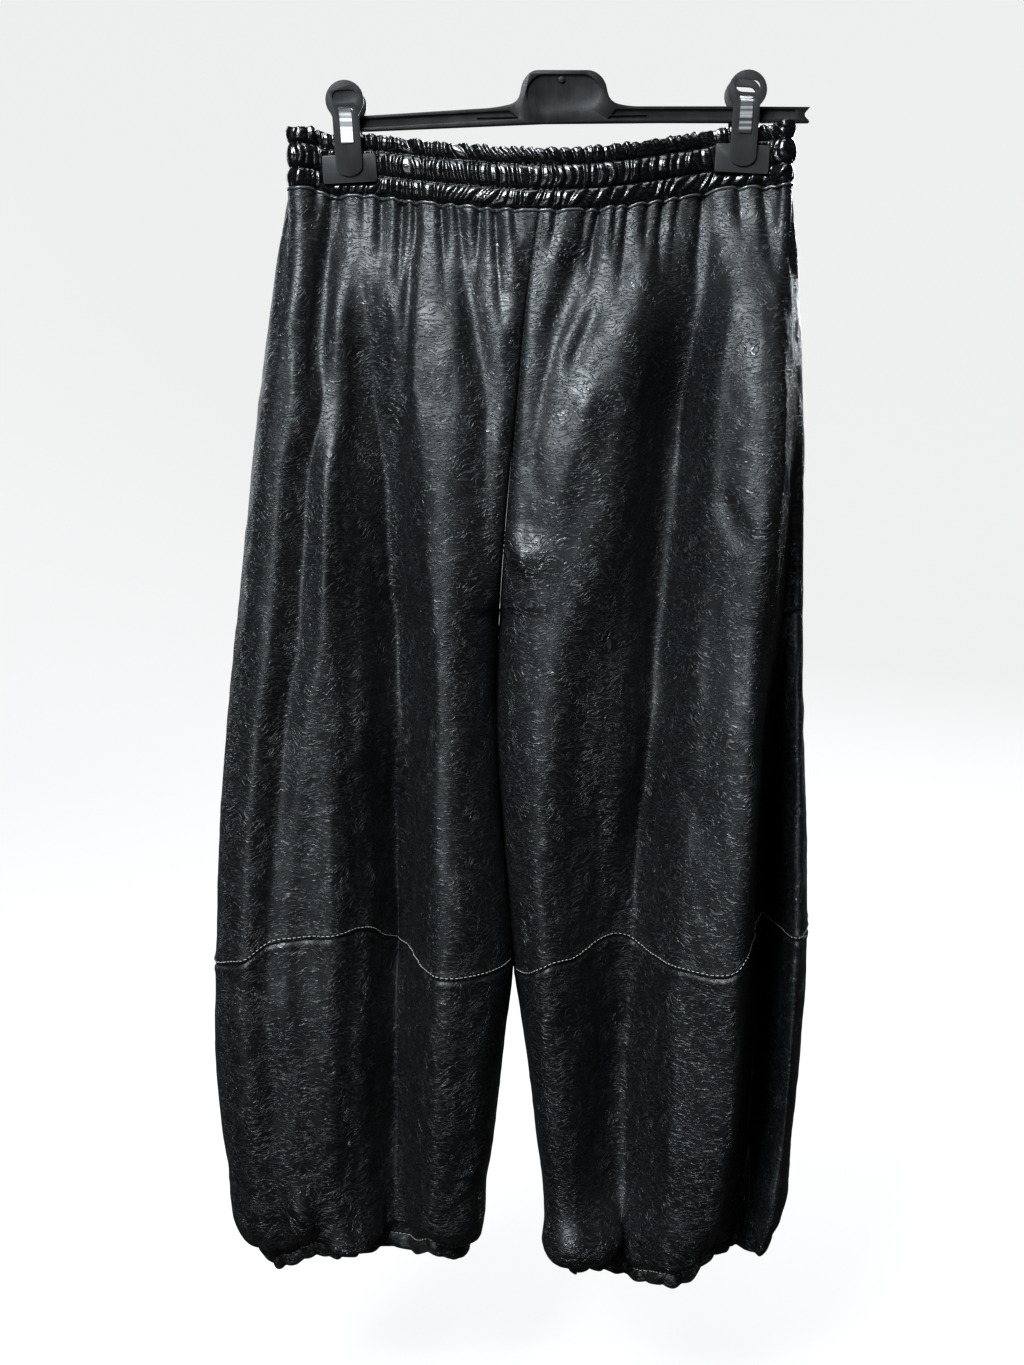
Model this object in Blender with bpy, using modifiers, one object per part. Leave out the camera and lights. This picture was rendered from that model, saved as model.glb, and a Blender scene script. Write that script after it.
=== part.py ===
"""Faux leather balloon joggers, hung by the waistband from the two clips of a bar hanger.

Metres, +Z up. The front faces -Y. The origin is the middle of the top edge of the hanger's centre
plate, where the hook's shank goes in. Sides are the wearer's, so the right leg is on -X.

Each leg is one cloth line at each height, which the FOLDS push in or out. Its seams cut it into panels.
"""

import math
from collections import namedtuple

import bmesh
import bpy
import numpy as np
from mathutils import Matrix, Vector

# ---------------------------------------------------------------- driving sizes
CLOTH = 0.0013  # backed faux leather
SEAM_GAP = 0.0003
CALF_GAP = 0.0007
HEM_DEPTH = 0.012  # the turned-up hem that holds the elastic
HEM_THICK = 0.0034
BAND_HALF = 0.0026  # half the gap between the band's two layers in a clip, at their middles
WAIST_DROP = 0.047  # waistband height
CALF_Z = -0.742
COLUMNS = 20  # across one panel
UPPER_ROWS = (0.0, 0.035, 0.075, 0.12, 0.17, 0.225, 0.28, 0.31, 0.33, 0.342, 0.375, 0.43, 0.5, 0.575, 0.649)
LOWER_ROWS = (0.0, 0.25, 0.50, 0.70, 0.845, 0.928)  # shares of the fall from the calf seam to the hem
HEM_STEP = 0.0005  # the height over which the wall thickens into the hem
CROTCH_ROW = 9
LINE_SAMPLES = 260  # points along a panel's line before it is cut into columns

# ---------------------------------------------------------------- the waistband's plan
BAND_ENDS = (-0.2225, 0.1865)
CLIP_X = {"right": -0.1745, "left": 0.1465}
CLIP_FLAT = 0.0235  # half the width that a clip holds flat
BAND_BOW = 0.0255
BAND_PUFF = 0.009
END_ROUND = 0.010
BandTop = namedtuple("BandTop", "x z")
BAND_TOPS = (  # the band's top edge sags between the clips, more towards the wearer's right
    BandTop(-0.2225, -0.0455), BandTop(-0.2060, -0.0458), BandTop(-0.1950, -0.0492),
    BandTop(-0.1550, -0.0510), BandTop(-0.1200, -0.0560), BandTop(-0.0850, -0.0605),
    BandTop(-0.0300, -0.0652), BandTop(0.0200, -0.0640), BandTop(0.0530, -0.0600),
    BandTop(0.0820, -0.0550), BandTop(0.1110, -0.0495), BandTop(0.1350, -0.0450),
    BandTop(0.1610, -0.0434), BandTop(0.1865, -0.0416),
)
WAIST_SEAM_Z = -0.0925  # the waist seam at its ends
WAIST_GAP = 0.0005

BandPoint = namedtuple("BandPoint", "out down")
BAND_PROFILE = (  # three puffed rows between the two shirring grooves
    BandPoint(0.0009, 0.0),
    BandPoint(0.0023, 0.006),
    BandPoint(0.0009, 0.0125),
    BandPoint(0.0024, 0.022),
    BandPoint(0.0009, 0.032),
    BandPoint(0.0023, 0.040),
    BandPoint(0.0010, WAIST_DROP),
)
BAND_STEPS = 31  # along the front, and along the back

# ---------------------------------------------------------------- the legs, a row for each height
Section = namedtuple("Section", "z side inner side_y front_y back_y inner_y seam_in")
LEGS = {
    "right": (
        Section(-0.095, -0.2225, -0.020, 0.000, -0.028, 0.028, 0.000, 0.0),
        Section(-0.165, -0.2370, -0.030, 0.000, -0.042, 0.038, 0.000, 0.0),
        Section(-0.260, -0.2520, -0.038, 0.002, -0.053, 0.050, 0.000, 0.0),
        Section(-0.440, -0.2740, -0.0520, 0.004, -0.064, 0.060, 0.002, 0.0),
        Section(-0.520, -0.2840, -0.0562, 0.004, -0.068, 0.063, 0.003, 0.0),
        Section(-0.610, -0.2930, -0.0545, 0.004, -0.074, 0.067, 0.004, 0.0),
        Section(-0.742, -0.3000, -0.0445, 0.002, -0.084, 0.072, 0.004, 0.0),
        Section(-0.845, -0.3010, -0.0505, 0.000, -0.083, 0.070, 0.002, 0.0),
        Section(-0.940, -0.2925, -0.0625, 0.000, -0.072, 0.060, 0.000, 0.0),
        Section(-0.985, -0.2830, -0.0725, 0.000, -0.058, 0.049, 0.000, 0.0),
        Section(-1.008, -0.2700, -0.0780, 0.000, -0.047, 0.040, 0.000, 0.0),
        Section(-1.024, -0.2600, -0.0800, 0.000, -0.044, 0.037, 0.000, 0.0),
    ),
    "left": (
        Section(-0.095, 0.1865, -0.020, 0.000, -0.028, 0.028, 0.000, 0.0),
        Section(-0.165, 0.1950, -0.030, 0.004, -0.044, 0.038, 0.000, 0.0),
        Section(-0.260, 0.2025, -0.038, 0.008, -0.056, 0.050, 0.000, 0.0),
        Section(-0.440, 0.2070, -0.0520, 0.016, -0.066, 0.062, 0.002, 0.0),
        Section(-0.520, 0.2100, -0.0550, 0.022, -0.069, 0.067, 0.003, 0.016),
        Section(-0.610, 0.2140, -0.0510, 0.030, -0.073, 0.073, 0.004, 0.029),
        Section(-0.742, 0.2200, -0.0380, 0.042, -0.078, 0.082, 0.004, 0.037),
        Section(-0.845, 0.2180, -0.0280, 0.044, -0.077, 0.082, 0.002, 0.039),
        Section(-0.940, 0.2110, -0.0170, 0.042, -0.071, 0.074, 0.000, 0.038),
        Section(-0.990, 0.2070, -0.0080, 0.037, -0.063, 0.063, 0.000, 0.037),
        Section(-1.016, 0.1990, 0.0020, 0.030, -0.053, 0.052, 0.000, 0.034),
        Section(-1.034, 0.1900, 0.0080, 0.026, -0.049, 0.046, 0.000, 0.032),
    ),
}
HEM_Z = {"right": -1.020, "left": -1.032}
SeamPoint = namedtuple("SeamPoint", "x z")
CALF_LINES = {  # the calf seam, round from the side to the inner edge: it rises where the cloth folds in
    ("right", "front"): (
        SeamPoint(-0.3000, -0.7480), SeamPoint(-0.2800, -0.7375), SeamPoint(-0.2644, -0.7320),
        SeamPoint(-0.2575, -0.7266), SeamPoint(-0.2417, -0.7190), SeamPoint(-0.2185, -0.7170),
        SeamPoint(-0.1941, -0.7150), SeamPoint(-0.1710, -0.7145), SeamPoint(-0.1620, -0.7190),
        SeamPoint(-0.1550, -0.7300), SeamPoint(-0.1450, -0.7380), SeamPoint(-0.1278, -0.7400),
        SeamPoint(-0.1002, -0.7430), SeamPoint(-0.0742, -0.7438), SeamPoint(-0.0445, -0.7435),
    ),
    ("right", "back"): (
        SeamPoint(-0.3000, -0.7480), SeamPoint(-0.2600, -0.7380), SeamPoint(-0.2100, -0.7270),
        SeamPoint(-0.1700, -0.7220), SeamPoint(-0.1300, -0.7350), SeamPoint(-0.0900, -0.7420),
        SeamPoint(-0.0445, -0.7435),
    ),
    ("left", "front"): (
        SeamPoint(0.2200, -0.7210), SeamPoint(0.1850, -0.7245), SeamPoint(0.1600, -0.7210),
        SeamPoint(0.1499, -0.7270), SeamPoint(0.1440, -0.7340), SeamPoint(0.1360, -0.7381),
        SeamPoint(0.0963, -0.7376), SeamPoint(0.0764, -0.7372), SeamPoint(0.0680, -0.7340),
        SeamPoint(0.0570, -0.7285), SeamPoint(0.0441, -0.7264), SeamPoint(0.0302, -0.7290),
        SeamPoint(0.0232, -0.7324), SeamPoint(0.0116, -0.7365), SeamPoint(-0.0078, -0.7375),
        SeamPoint(-0.0188, -0.7430), SeamPoint(-0.0280, -0.7502), SeamPoint(-0.0380, -0.7540),
    ),
    ("left", "back"): (
        SeamPoint(0.2200, -0.7210), SeamPoint(0.1800, -0.7300), SeamPoint(0.1400, -0.7390),
        SeamPoint(0.1000, -0.7270), SeamPoint(0.0600, -0.7360), SeamPoint(0.0200, -0.7450),
        SeamPoint(-0.0380, -0.7540),
    ),
}
HEM_LINES = {  # the bottom edge, round from the side to the inner edge
    ("right", "front"): (
        SeamPoint(-0.2640, -1.0220), SeamPoint(-0.2500, -1.0265), SeamPoint(-0.2340, -1.0215),
        SeamPoint(-0.2200, -1.0120), SeamPoint(-0.2057, -1.0090), SeamPoint(-0.1924, -1.0135),
        SeamPoint(-0.1600, -1.0175), SeamPoint(-0.1433, -1.0160), SeamPoint(-0.1300, -1.0135),
        SeamPoint(-0.1184, -1.0060), SeamPoint(-0.0994, -1.0114), SeamPoint(-0.0790, -1.0187),
    ),
    ("right", "back"): (
        SeamPoint(-0.2640, -1.0220), SeamPoint(-0.2300, -1.0190), SeamPoint(-0.1900, -1.0110),
        SeamPoint(-0.1500, -1.0160), SeamPoint(-0.1100, -1.0090), SeamPoint(-0.0790, -1.0187),
    ),
    ("left", "front"): (
        SeamPoint(0.1900, -1.0120), SeamPoint(0.1800, -1.0160), SeamPoint(0.1680, -1.0180),
        SeamPoint(0.1550, -1.0170), SeamPoint(0.1440, -1.0130), SeamPoint(0.1339, -1.0090),
        SeamPoint(0.1218, -1.0166), SeamPoint(0.1145, -1.0260), SeamPoint(0.1035, -1.0320),
        SeamPoint(0.0832, -1.0333), SeamPoint(0.0734, -1.0390), SeamPoint(0.0660, -1.0425),
        SeamPoint(0.0526, -1.0425), SeamPoint(0.0323, -1.0340), SeamPoint(0.0080, -1.0360),
    ),
    ("left", "back"): (
        SeamPoint(0.1900, -1.0120), SeamPoint(0.1700, -1.0170), SeamPoint(0.1400, -1.0220),
        SeamPoint(0.1000, -1.0340), SeamPoint(0.0600, -1.0280), SeamPoint(0.0080, -1.0360),
    ),
}
CROTCH_Z = -0.440
SEAM_Y = {"front": (-0.028, -0.036, -0.040, -0.040), "back": (0.028, 0.038, 0.046, 0.046)}
SEAM_Z = (-0.112, -0.180, -0.260, CROTCH_Z)  # where SEAM_Y is read, before it turns under
TURN_START = -0.250  # the crotch seam starts to curve under here
SIDE_ROUND = 0.36  # share of a panel's width that rounds away at the side
INNER_ROUND = 0.27
WALL_SHORT = 0.8  # how much less the wall that turns in at the crotch counts along a row
UNDER_POWER = 2.6  # how squarely the crotch seam turns under
LOOSE_FALL = 0.11  # the legs leave the band's plan over this height
SAG_FALL = 0.30  # the waist's sag is felt over this height
SIDE_HOLD = 0.05  # shares of a panel's width over which the folds start
INNER_HOLD = 0.10
LEG_GAP = 0.0012  # between the two thighs where they lie on each other

# ---------------------------------------------------------------- the folds, a row for each
STATIONS = (-0.10, -0.26, -0.50, -0.742, -0.92, -1.02)
Fold = namedtuple("Fold", "leg face name sharp x depth outer inner")
# x and depth are read at the STATIONS. depth pushes into the leg, so a ridge is negative.
# outer and inner are the fold's reach towards the side and towards the middle, and sharp is 0 for
# a soft fold and 1 for one that comes to an edge.
PEAK_POWER = 1.5
FOLDS = (
    Fold("right", "front", "outer fold", 0.40, (-0.190, -0.201, -0.226, -0.245, -0.245, -0.232),
         (0.006, 0.018, 0.015, 0.012, 0.010, 0.006), 0.024, 0.022),
    Fold("right", "front", "outer hollow", 0.00, (-0.190, -0.200, -0.205, -0.214, -0.205, -0.190),
         (0.000, 0.006, 0.014, 0.028, 0.016, 0.008), 0.055, 0.060),
    Fold("right", "front", "knee fold", 0.20, (-0.165, -0.172, -0.176, -0.177, -0.180, -0.180),
         (0.000, 0.003, 0.009, 0.010, 0.008, 0.003), 0.026, 0.016),
    Fold("right", "front", "main valley", 0.30, (-0.172, -0.156, -0.142, -0.144, -0.144, -0.150),
         (0.002, 0.038, 0.062, 0.084, 0.060, 0.034), 0.052, 0.024),
    Fold("right", "front", "upper valley", 0.65, (-0.121, -0.1316, -0.142, -0.150, -0.150, -0.150),
         (0.006, 0.010, 0.003, 0.000, 0.000, 0.000), 0.024, 0.009),
    Fold("right", "front", "short crease", 0.65, (-0.086, -0.0655, -0.064, -0.064, -0.064, -0.064),
         (0.006, 0.007, 0.000, 0.000, 0.000, 0.000), 0.022, 0.010),
    Fold("right", "front", "inner lobe", 0.00, (-0.105, -0.100, -0.095, -0.098, -0.110, -0.110),
         (0.000, -0.004, -0.008, -0.010, -0.006, 0.000), 0.035, 0.035),
    Fold("left", "front", "crotch drape", 0.65, (0.030, -0.020, -0.030, -0.030, -0.030, -0.030),
         (0.005, 0.005, 0.000, 0.000, 0.000, 0.000), 0.014, 0.022),
    Fold("left", "front", "inner hollow", 0.00, (0.105, 0.090, 0.036, 0.027, 0.032, 0.036),
         (0.000, 0.002, 0.020, 0.040, 0.030, 0.014), 0.036, 0.050),
    Fold("left", "front", "upper band", 0.65, (0.126, 0.101, 0.086, 0.070, 0.070, 0.070),
         (0.012, 0.034, 0.014, 0.000, 0.000, 0.000), 0.010, 0.056),
    Fold("left", "front", "main valley", 0.30, (0.110, 0.094, 0.080, 0.062, 0.058, 0.056),
         (0.002, 0.010, 0.036, 0.060, 0.054, 0.030), 0.022, 0.050),
    Fold("left", "front", "outer lobe", 0.00, (0.160, 0.166, 0.162, 0.140, 0.130, 0.115),
         (0.000, -0.010, -0.014, -0.010, -0.007, -0.004), 0.024, 0.070),
    Fold("left", "front", "side valley", 0.50, (0.196, 0.200, 0.186, 0.183, 0.176, 0.158),
         (0.000, 0.000, 0.044, 0.108, 0.092, 0.046), 0.020, 0.034),
    Fold("right", "back", "outer fold", 0.40, (-0.185, -0.205, -0.228, -0.240, -0.236, -0.222),
         (0.004, 0.012, 0.018, 0.022, 0.018, 0.010), 0.018, 0.034),
    Fold("right", "back", "seat fold", 0.40, (-0.132, -0.140, -0.158, -0.172, -0.170, -0.165),
         (0.006, 0.018, 0.030, 0.036, 0.030, 0.014), 0.050, 0.024),
    Fold("right", "back", "inner fold", 0.40, (-0.070, -0.084, -0.102, -0.098, -0.106, -0.110),
         (0.005, 0.012, 0.016, 0.024, 0.018, 0.008), 0.020, 0.036),
    Fold("left", "back", "outer fold", 0.40, (0.150, 0.160, 0.158, 0.160, 0.152, 0.140),
         (0.004, 0.010, 0.016, 0.018, 0.018, 0.010), 0.022, 0.034),
    Fold("left", "back", "seat fold", 0.40, (0.085, 0.096, 0.088, 0.092, 0.098, 0.095),
         (0.007, 0.020, 0.030, 0.034, 0.028, 0.014), 0.024, 0.050),
    Fold("left", "back", "inner fold", 0.40, (0.030, 0.022, 0.016, 0.030, 0.036, 0.040),
         (0.004, 0.010, 0.022, 0.026, 0.016, 0.008), 0.034, 0.020),
)
LIFT_START = -0.42  # the calf seam's lifts are felt from here down

# ---------------------------------------------------------------- the hanger
BAR_DEPTH = 0.008
RIM = 0.0018
WEB_RECESS = 0.0024
# x and z of the moulding's outline, clockwise from the right arm's tip, with each corner's radius
Corner = namedtuple("Corner", "x z radius")
HANGER_OUTLINE = (
    Corner(0.2020, -0.0290, 0.001), Corner(0.1965, -0.0350, 0.003), Corner(0.2020, -0.0408, 0.001),
    Corner(0.0400, -0.0405, 0.010), Corner(-0.0200, -0.0415, 0.010), Corner(-0.1690, -0.0479, 0.004),
    Corner(-0.1840, -0.0484, 0.001), Corner(-0.1840, -0.0373, 0.001), Corner(-0.1690, -0.0364, 0.004),
    Corner(-0.0560, -0.0297, 0.012), Corner(-0.0365, -0.0255, 0.008), Corner(-0.0330, -0.0080, 0.012),
    Corner(-0.0255, 0.0000, 0.006), Corner(0.0255, 0.0000, 0.006), Corner(0.0345, -0.0080, 0.012),
    Corner(0.0380, -0.0250, 0.008), Corner(0.0540, -0.0285, 0.012), Corner(0.1300, -0.0285, 0.004),
)
PLATE_RECESS = (
    Corner(-0.0215, -0.0032, 0.006), Corner(0.0215, -0.0032, 0.006), Corner(0.0312, -0.0130, 0.008),
    Corner(0.0300, -0.0240, 0.010), Corner(0.0200, -0.0325, 0.009), Corner(-0.0200, -0.0325, 0.009),
    Corner(-0.0300, -0.0240, 0.010), Corner(-0.0302, -0.0130, 0.008),
)
ARM_RECESSES = {
    "right": (Corner(-0.1680, -0.0384, 0.001), Corner(-0.0440, -0.0318, 0.001),
              Corner(-0.0360, -0.0382, 0.001), Corner(-0.1680, -0.0460, 0.001)),
    "left": (Corner(0.0430, -0.0306, 0.001), Corner(0.1900, -0.0309, 0.001),
             Corner(0.1900, -0.0386, 0.001), Corner(0.0360, -0.0384, 0.001)),
}
HOOK_END_RADIUS = 0.0031
HOOK_END_AT = (-0.0010, -0.0072)
HOOK_END_DEPTH = 0.0016
PAST = 0.002  # how far a cutter stands out of the face that it cuts

# ---------------------------------------------------------------- the clips, measured from the jaw's middle
Clip = namedtuple("Clip", "side z lean window")
CLIPS = (Clip("right", -0.0785, 3.0, False), Clip("left", -0.0705, -3.0, True))
JAW = (0.044, 0.0225)
JAW_INSIDE = 0.0056
JAW_THICK = 0.0034
HEAD_Z = 0.0535
HEAD_RADIUS = 0.0155
NECK_HALF = 0.0108
LEVER_FOOT = -0.0060
LEVER_THICK = 0.003
LEVER_LEAN = math.radians(5.0)
LEVER_SUNK = 0.0006  # into the jaw's outer face
SEAT_Z = (0.0325, 0.0405)  # the lever's pad against the bar
SEAT_HALF = 0.0085
SEAT_OUT = 0.0125
WINDOW = (0.0565, 0.0100, 0.0048)  # the head's oblong hole or recess: middle z, half width and half height
WINDOW_RECESS = 0.0014
SLOT_HALF = (0.006, 0.0020)  # where the spring passes through the head
SPRING_HALF = 0.005
SPRING_THICK = 0.0008
SPRING_Z = (0.020, 0.0465)
SPRING_BEND = 0.0015  # the strip turns in this far below the top of SPRING_Z
SPRING_CROWN = ((0.001, 0.0012), (-0.003, 0.0024))  # its crown: in y from the bend or the middle, and up

# ---------------------------------------------------------------- materials
Finish = namedtuple("Finish", "colour roughness metallic")
FINISHES = {
    "faux_leather": Finish((0.018, 0.019, 0.021), 0.38, 0.0),
    "hanger_plastic": Finish((0.012, 0.012, 0.013), 0.30, 0.0),
    "clip_plastic": Finish((0.030, 0.031, 0.033), 0.35, 0.0),
    "spring_steel": Finish((0.62, 0.62, 0.63), 0.22, 1.0),
}


def clear_scene():
    for obj in list(bpy.data.objects):
        bpy.data.objects.remove(obj)


def material(name):
    """The Principled BSDF of one finish, made once."""
    if name in bpy.data.materials:
        return bpy.data.materials[name]
    made = bpy.data.materials.new(name)
    made.use_nodes = True
    shader = made.node_tree.nodes["Principled BSDF"]
    finish = FINISHES[name]
    shader.inputs["Base Color"].default_value = (*finish.colour, 1.0)
    shader.inputs["Roughness"].default_value = finish.roughness
    shader.inputs["Metallic"].default_value = finish.metallic
    return made


def add_object(name, data, finish):
    obj = bpy.data.objects.new(name, data)
    bpy.context.scene.collection.objects.link(obj)
    obj.data.materials.append(material(finish))
    return obj


# ---------------------------------------------------------------- curves that the tables are read along
def smoothstep(low, high, value):
    t = np.clip((value - low) / (high - low), 0.0, 1.0)
    return t * t * (3 - 2 * t)


def read_along(places, values, at):
    """A smooth line through the values at rising or falling places, read at one or many places."""
    way = 1.0 if places[-1] > places[0] else -1.0
    xs = way * np.asarray(places, float)
    ys = np.asarray(values, float)
    at = np.clip(way * np.asarray(at, float), xs[0], xs[-1])
    slopes = np.diff(ys) / np.diff(xs)
    tangents = np.concatenate([slopes[:1], (slopes[1:] + slopes[:-1]) / 2, slopes[-1:]])
    k = np.clip(np.searchsorted(xs, at) - 1, 0, len(xs) - 2)
    span = xs[k + 1] - xs[k]
    t = (at - xs[k]) / span
    start = ys[k] * (1 + 2 * t) * (1 - t) ** 2 + ys[k + 1] * t * t * (3 - 2 * t)
    return start + span * (tangents[k] * t * (1 - t) ** 2 - tangents[k + 1] * t * t * (1 - t))


def rounding(share, power=2.3):
    """Rises from 0 with an upright start and reaches 1, flat, at share 1."""
    left = 1 - np.clip(share, 0.0, 1.0)
    return (1 - left**power) ** (1 / power)


def bump(distance, outer, inner, sharp):
    """A hill of height 1, from soft to peaked. distance is positive towards the garment's middle."""
    share = np.clip(np.abs(distance) / np.where(distance < 0, outer, inner), 0.0, 1.0)
    return (1 - sharp) * 0.5 * (1 + np.cos(np.pi * share)) + sharp * (1 - share) ** PEAK_POWER


# ---------------------------------------------------------------- the waistband
def band_half(x):
    """Half the distance between the band's front and back at x."""
    low, high = BAND_ENDS
    start = CLIP_X["right"] + CLIP_FLAT
    end = CLIP_X["left"] - CLIP_FLAT
    bow = np.sin(np.pi * np.clip((x - start) / (end - start), 0.0, 1.0)) ** 1.25
    left_loop = 1 - smoothstep(low + END_ROUND / 2, CLIP_X["right"] - CLIP_FLAT, x)
    right_loop = smoothstep(CLIP_X["left"] + CLIP_FLAT, high - END_ROUND / 2, x)
    half = BAND_HALF + BAND_BOW * bow + BAND_PUFF * np.maximum(left_loop, right_loop)
    from_end = np.minimum(x - low, high - x)
    return half * rounding(from_end / END_ROUND)


def band_top(x):
    return read_along([row.x for row in BAND_TOPS], [row.z for row in BAND_TOPS], x)


def band_ring():
    """The band's middle line as x, y and outward direction, once round."""
    low, high = BAND_ENDS
    turn = np.pi * np.arange(BAND_STEPS) / BAND_STEPS
    across = (low + high) / 2 - (high - low) / 2 * np.cos(turn)
    back = across[1:][::-1]
    x = np.concatenate([across, [high], back])
    y = np.concatenate([-band_half(across), [0.0], band_half(back)])
    ahead = np.stack([np.roll(x, -1) - np.roll(x, 1), np.roll(y, -1) - np.roll(y, 1)], axis=1)
    ahead /= np.linalg.norm(ahead, axis=1)[:, None]
    return x, y, ahead[:, 1], -ahead[:, 0]


def build_waistband():
    x, y, out_x, out_y = band_ring()
    top = band_top(x)
    outside = [(point.out, point.down) for point in BAND_PROFILE]
    inside = [(-out, down) for out, down in reversed(outside)]
    rings = [
        np.stack([x + out_x * out, y + out_y * out, top - down], axis=1)
        for out, down in outside + inside
    ]
    mesh = bmesh.new()
    rows = [[mesh.verts.new(point) for point in ring] for ring in rings]
    for row, below in zip(rows, rows[1:] + rows[:1]):
        for k in range(len(row)):
            after = (k + 1) % len(row)
            mesh.faces.new((row[k], below[k], below[after], row[after]))
    return finish_mesh(mesh, "waistband", "faux_leather")


def finish_mesh(mesh, name, finish):
    bmesh.ops.recalc_face_normals(mesh, faces=mesh.faces)
    data = bpy.data.meshes.new(name)
    mesh.to_mesh(data)
    mesh.free()
    return add_object(name, data, finish)


# ---------------------------------------------------------------- the legs
def column(leg, name, z):
    rows = LEGS[leg]
    return float(read_along([row.z for row in rows], [getattr(row, name) for row in rows], z))


def fold_push(leg, face, x, z):
    """How far the folds push the cloth into the leg at each x of one height."""
    outward = -1.0 if leg == "right" else 1.0
    push = np.zeros_like(x)
    for fold in FOLDS:
        if (fold.leg, fold.face) == (leg, face):
            middle = read_along(STATIONS, fold.x, z)
            depth = read_along(STATIONS, fold.depth, z)
            push += depth * bump((middle - x) * outward, fold.outer, fold.inner, fold.sharp)
    return push


def inner_end(leg, face, z):
    """x and y of the panel's inner edge: the centre seam above the crotch, and the inseam below it."""
    turned = float(np.clip((TURN_START - z) / (TURN_START - CROTCH_Z), 0.0, 1.0))
    apart = (SEAM_GAP + (LEG_GAP - SEAM_GAP) * turned) / 2
    inner = column(leg, "inner", z) + (apart if leg == "left" else -apart)
    bottom = column(leg, "inner_y", z)
    if z < CROTCH_Z:
        return inner, bottom
    under = (1 - turned**UNDER_POWER) ** (1 / UNDER_POWER)
    seam_y = float(read_along(SEAM_Z, SEAM_Y[face], z))
    return inner, bottom + (seam_y - bottom) * under


def seam_line(points, x):
    return read_along([point.x for point in points], [point.z for point in points], x)


def face_line(leg, face, z):
    """Dense points of the front or the back of one leg at one height, from the side to the inner edge."""
    share = (1 - np.cos(np.pi * np.arange(LINE_SAMPLES + 1) / LINE_SAMPLES)) / 2
    inner, inner_y = inner_end(leg, face, z)
    side = column(leg, "side", z)
    belly = column(leg, face + "_y", z)
    side_y = column(leg, "side_y", z)
    x = side + (inner - side) * share
    side_arch = rounding(share / SIDE_ROUND)
    inner_arch = rounding((1 - share) / INNER_ROUND)
    y = side_y + (belly - side_y) * side_arch + (inner_y - belly) * (1 - inner_arch)
    into = 1.0 if face == "front" else -1.0
    hold = smoothstep(0.0, SIDE_HOLD, share) * smoothstep(0.0, INNER_HOLD, 1 - share)
    push = fold_push(leg, face, x, z) * hold
    loose = smoothstep(0.0, LOOSE_FALL, WAIST_SEAM_Z - z)
    flat = -into * band_half(x)
    lift = seam_line(CALF_LINES[leg, face], x) - CALF_Z
    drop = seam_line(HEM_LINES[leg, face], x) - HEM_Z[leg]
    return x, flat + (y + into * push - flat) * loose, lift, drop


def cut_at_side(leg, z):
    """The leg's line cut at its side seam, as the front part and the back part, both from the side seam."""
    front = np.array(face_line(leg, "front", z))
    back = np.array(face_line(leg, "back", z))
    inward = max(column(leg, "seam_in", z), 0.0)
    reach = np.abs(front[0] - front[0, 0])
    cut = int(np.searchsorted(reach, inward, side="right"))
    seam = np.array([np.interp(inward, reach, values) for values in front])[:, None]
    ahead = np.concatenate([seam, front[:, cut:]], axis=1)
    behind = np.concatenate([seam, front[:, :cut][:, ::-1], back[:, 1:]], axis=1)
    return ahead, behind if inward > 0 else back


def evenly(line):
    """COLUMNS + 1 points in even steps along a line, with its ends cut back to leave the seams' gap.

    The wall that turns in at the crotch counts for less, so that the columns run straight past it.
    """
    x, y = line[0], line[1]
    share = np.abs(x - x[0]) / abs(x[-1] - x[0])
    weight = 1 - WALL_SHORT * smoothstep(1 - INNER_ROUND, 1.0, (share[1:] + share[:-1]) / 2)
    length = np.concatenate([[0.0], np.cumsum(np.hypot(np.diff(x), np.diff(y) * weight))])
    at = np.linspace(SEAM_GAP / 2, length[-1] - SEAM_GAP / 2 * (1 - WALL_SHORT), COLUMNS + 1)
    return [np.interp(at, length, values) for values in line]


def final_z(leg, z, x, lift, drop):
    """The row's real height: the waist sags, and the calf seam and the hem are uneven."""
    seam = band_top(x) - WAIST_DROP - WAIST_GAP
    sag = (seam - WAIST_SEAM_Z) * (1 - smoothstep(0.0, SAG_FALL, WAIST_SEAM_Z - z))
    to_calf = smoothstep(0.0, LIFT_START - CALF_Z, LIFT_START - z)
    to_hem = smoothstep(0.0, CALF_Z - HEM_Z[leg], CALF_Z - z)
    return z + sag + lift * to_calf * (1 - to_hem) + drop * to_hem


def leg_rows(leg):
    """The nominal heights of the leg's rows: the upper panels', then the lower panels'."""
    upper = [WAIST_SEAM_Z - down for down in UPPER_ROWS[:-1]] + [CALF_Z + CALF_GAP / 2]
    upper[CROTCH_ROW] = CROTCH_Z
    fall = CALF_Z - HEM_Z[leg]
    lower = [CALF_Z - CALF_GAP / 2 - share * fall for share in LOWER_ROWS]
    hem = HEM_Z[leg] + HEM_DEPTH
    return upper, lower + [hem, hem - HEM_STEP, HEM_Z[leg]]


def panel_grid(leg, face, heights):
    """Outer points of a leg's front or back, a row for each height, from the side seam to the inner edge."""
    grid = []
    for z in heights:
        x, y, lift, drop = evenly(cut_at_side(leg, z)[face == "back"])
        grid.append(np.stack([x, y, final_z(leg, z, x, lift, drop)], axis=1))
    return np.array(grid)


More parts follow.
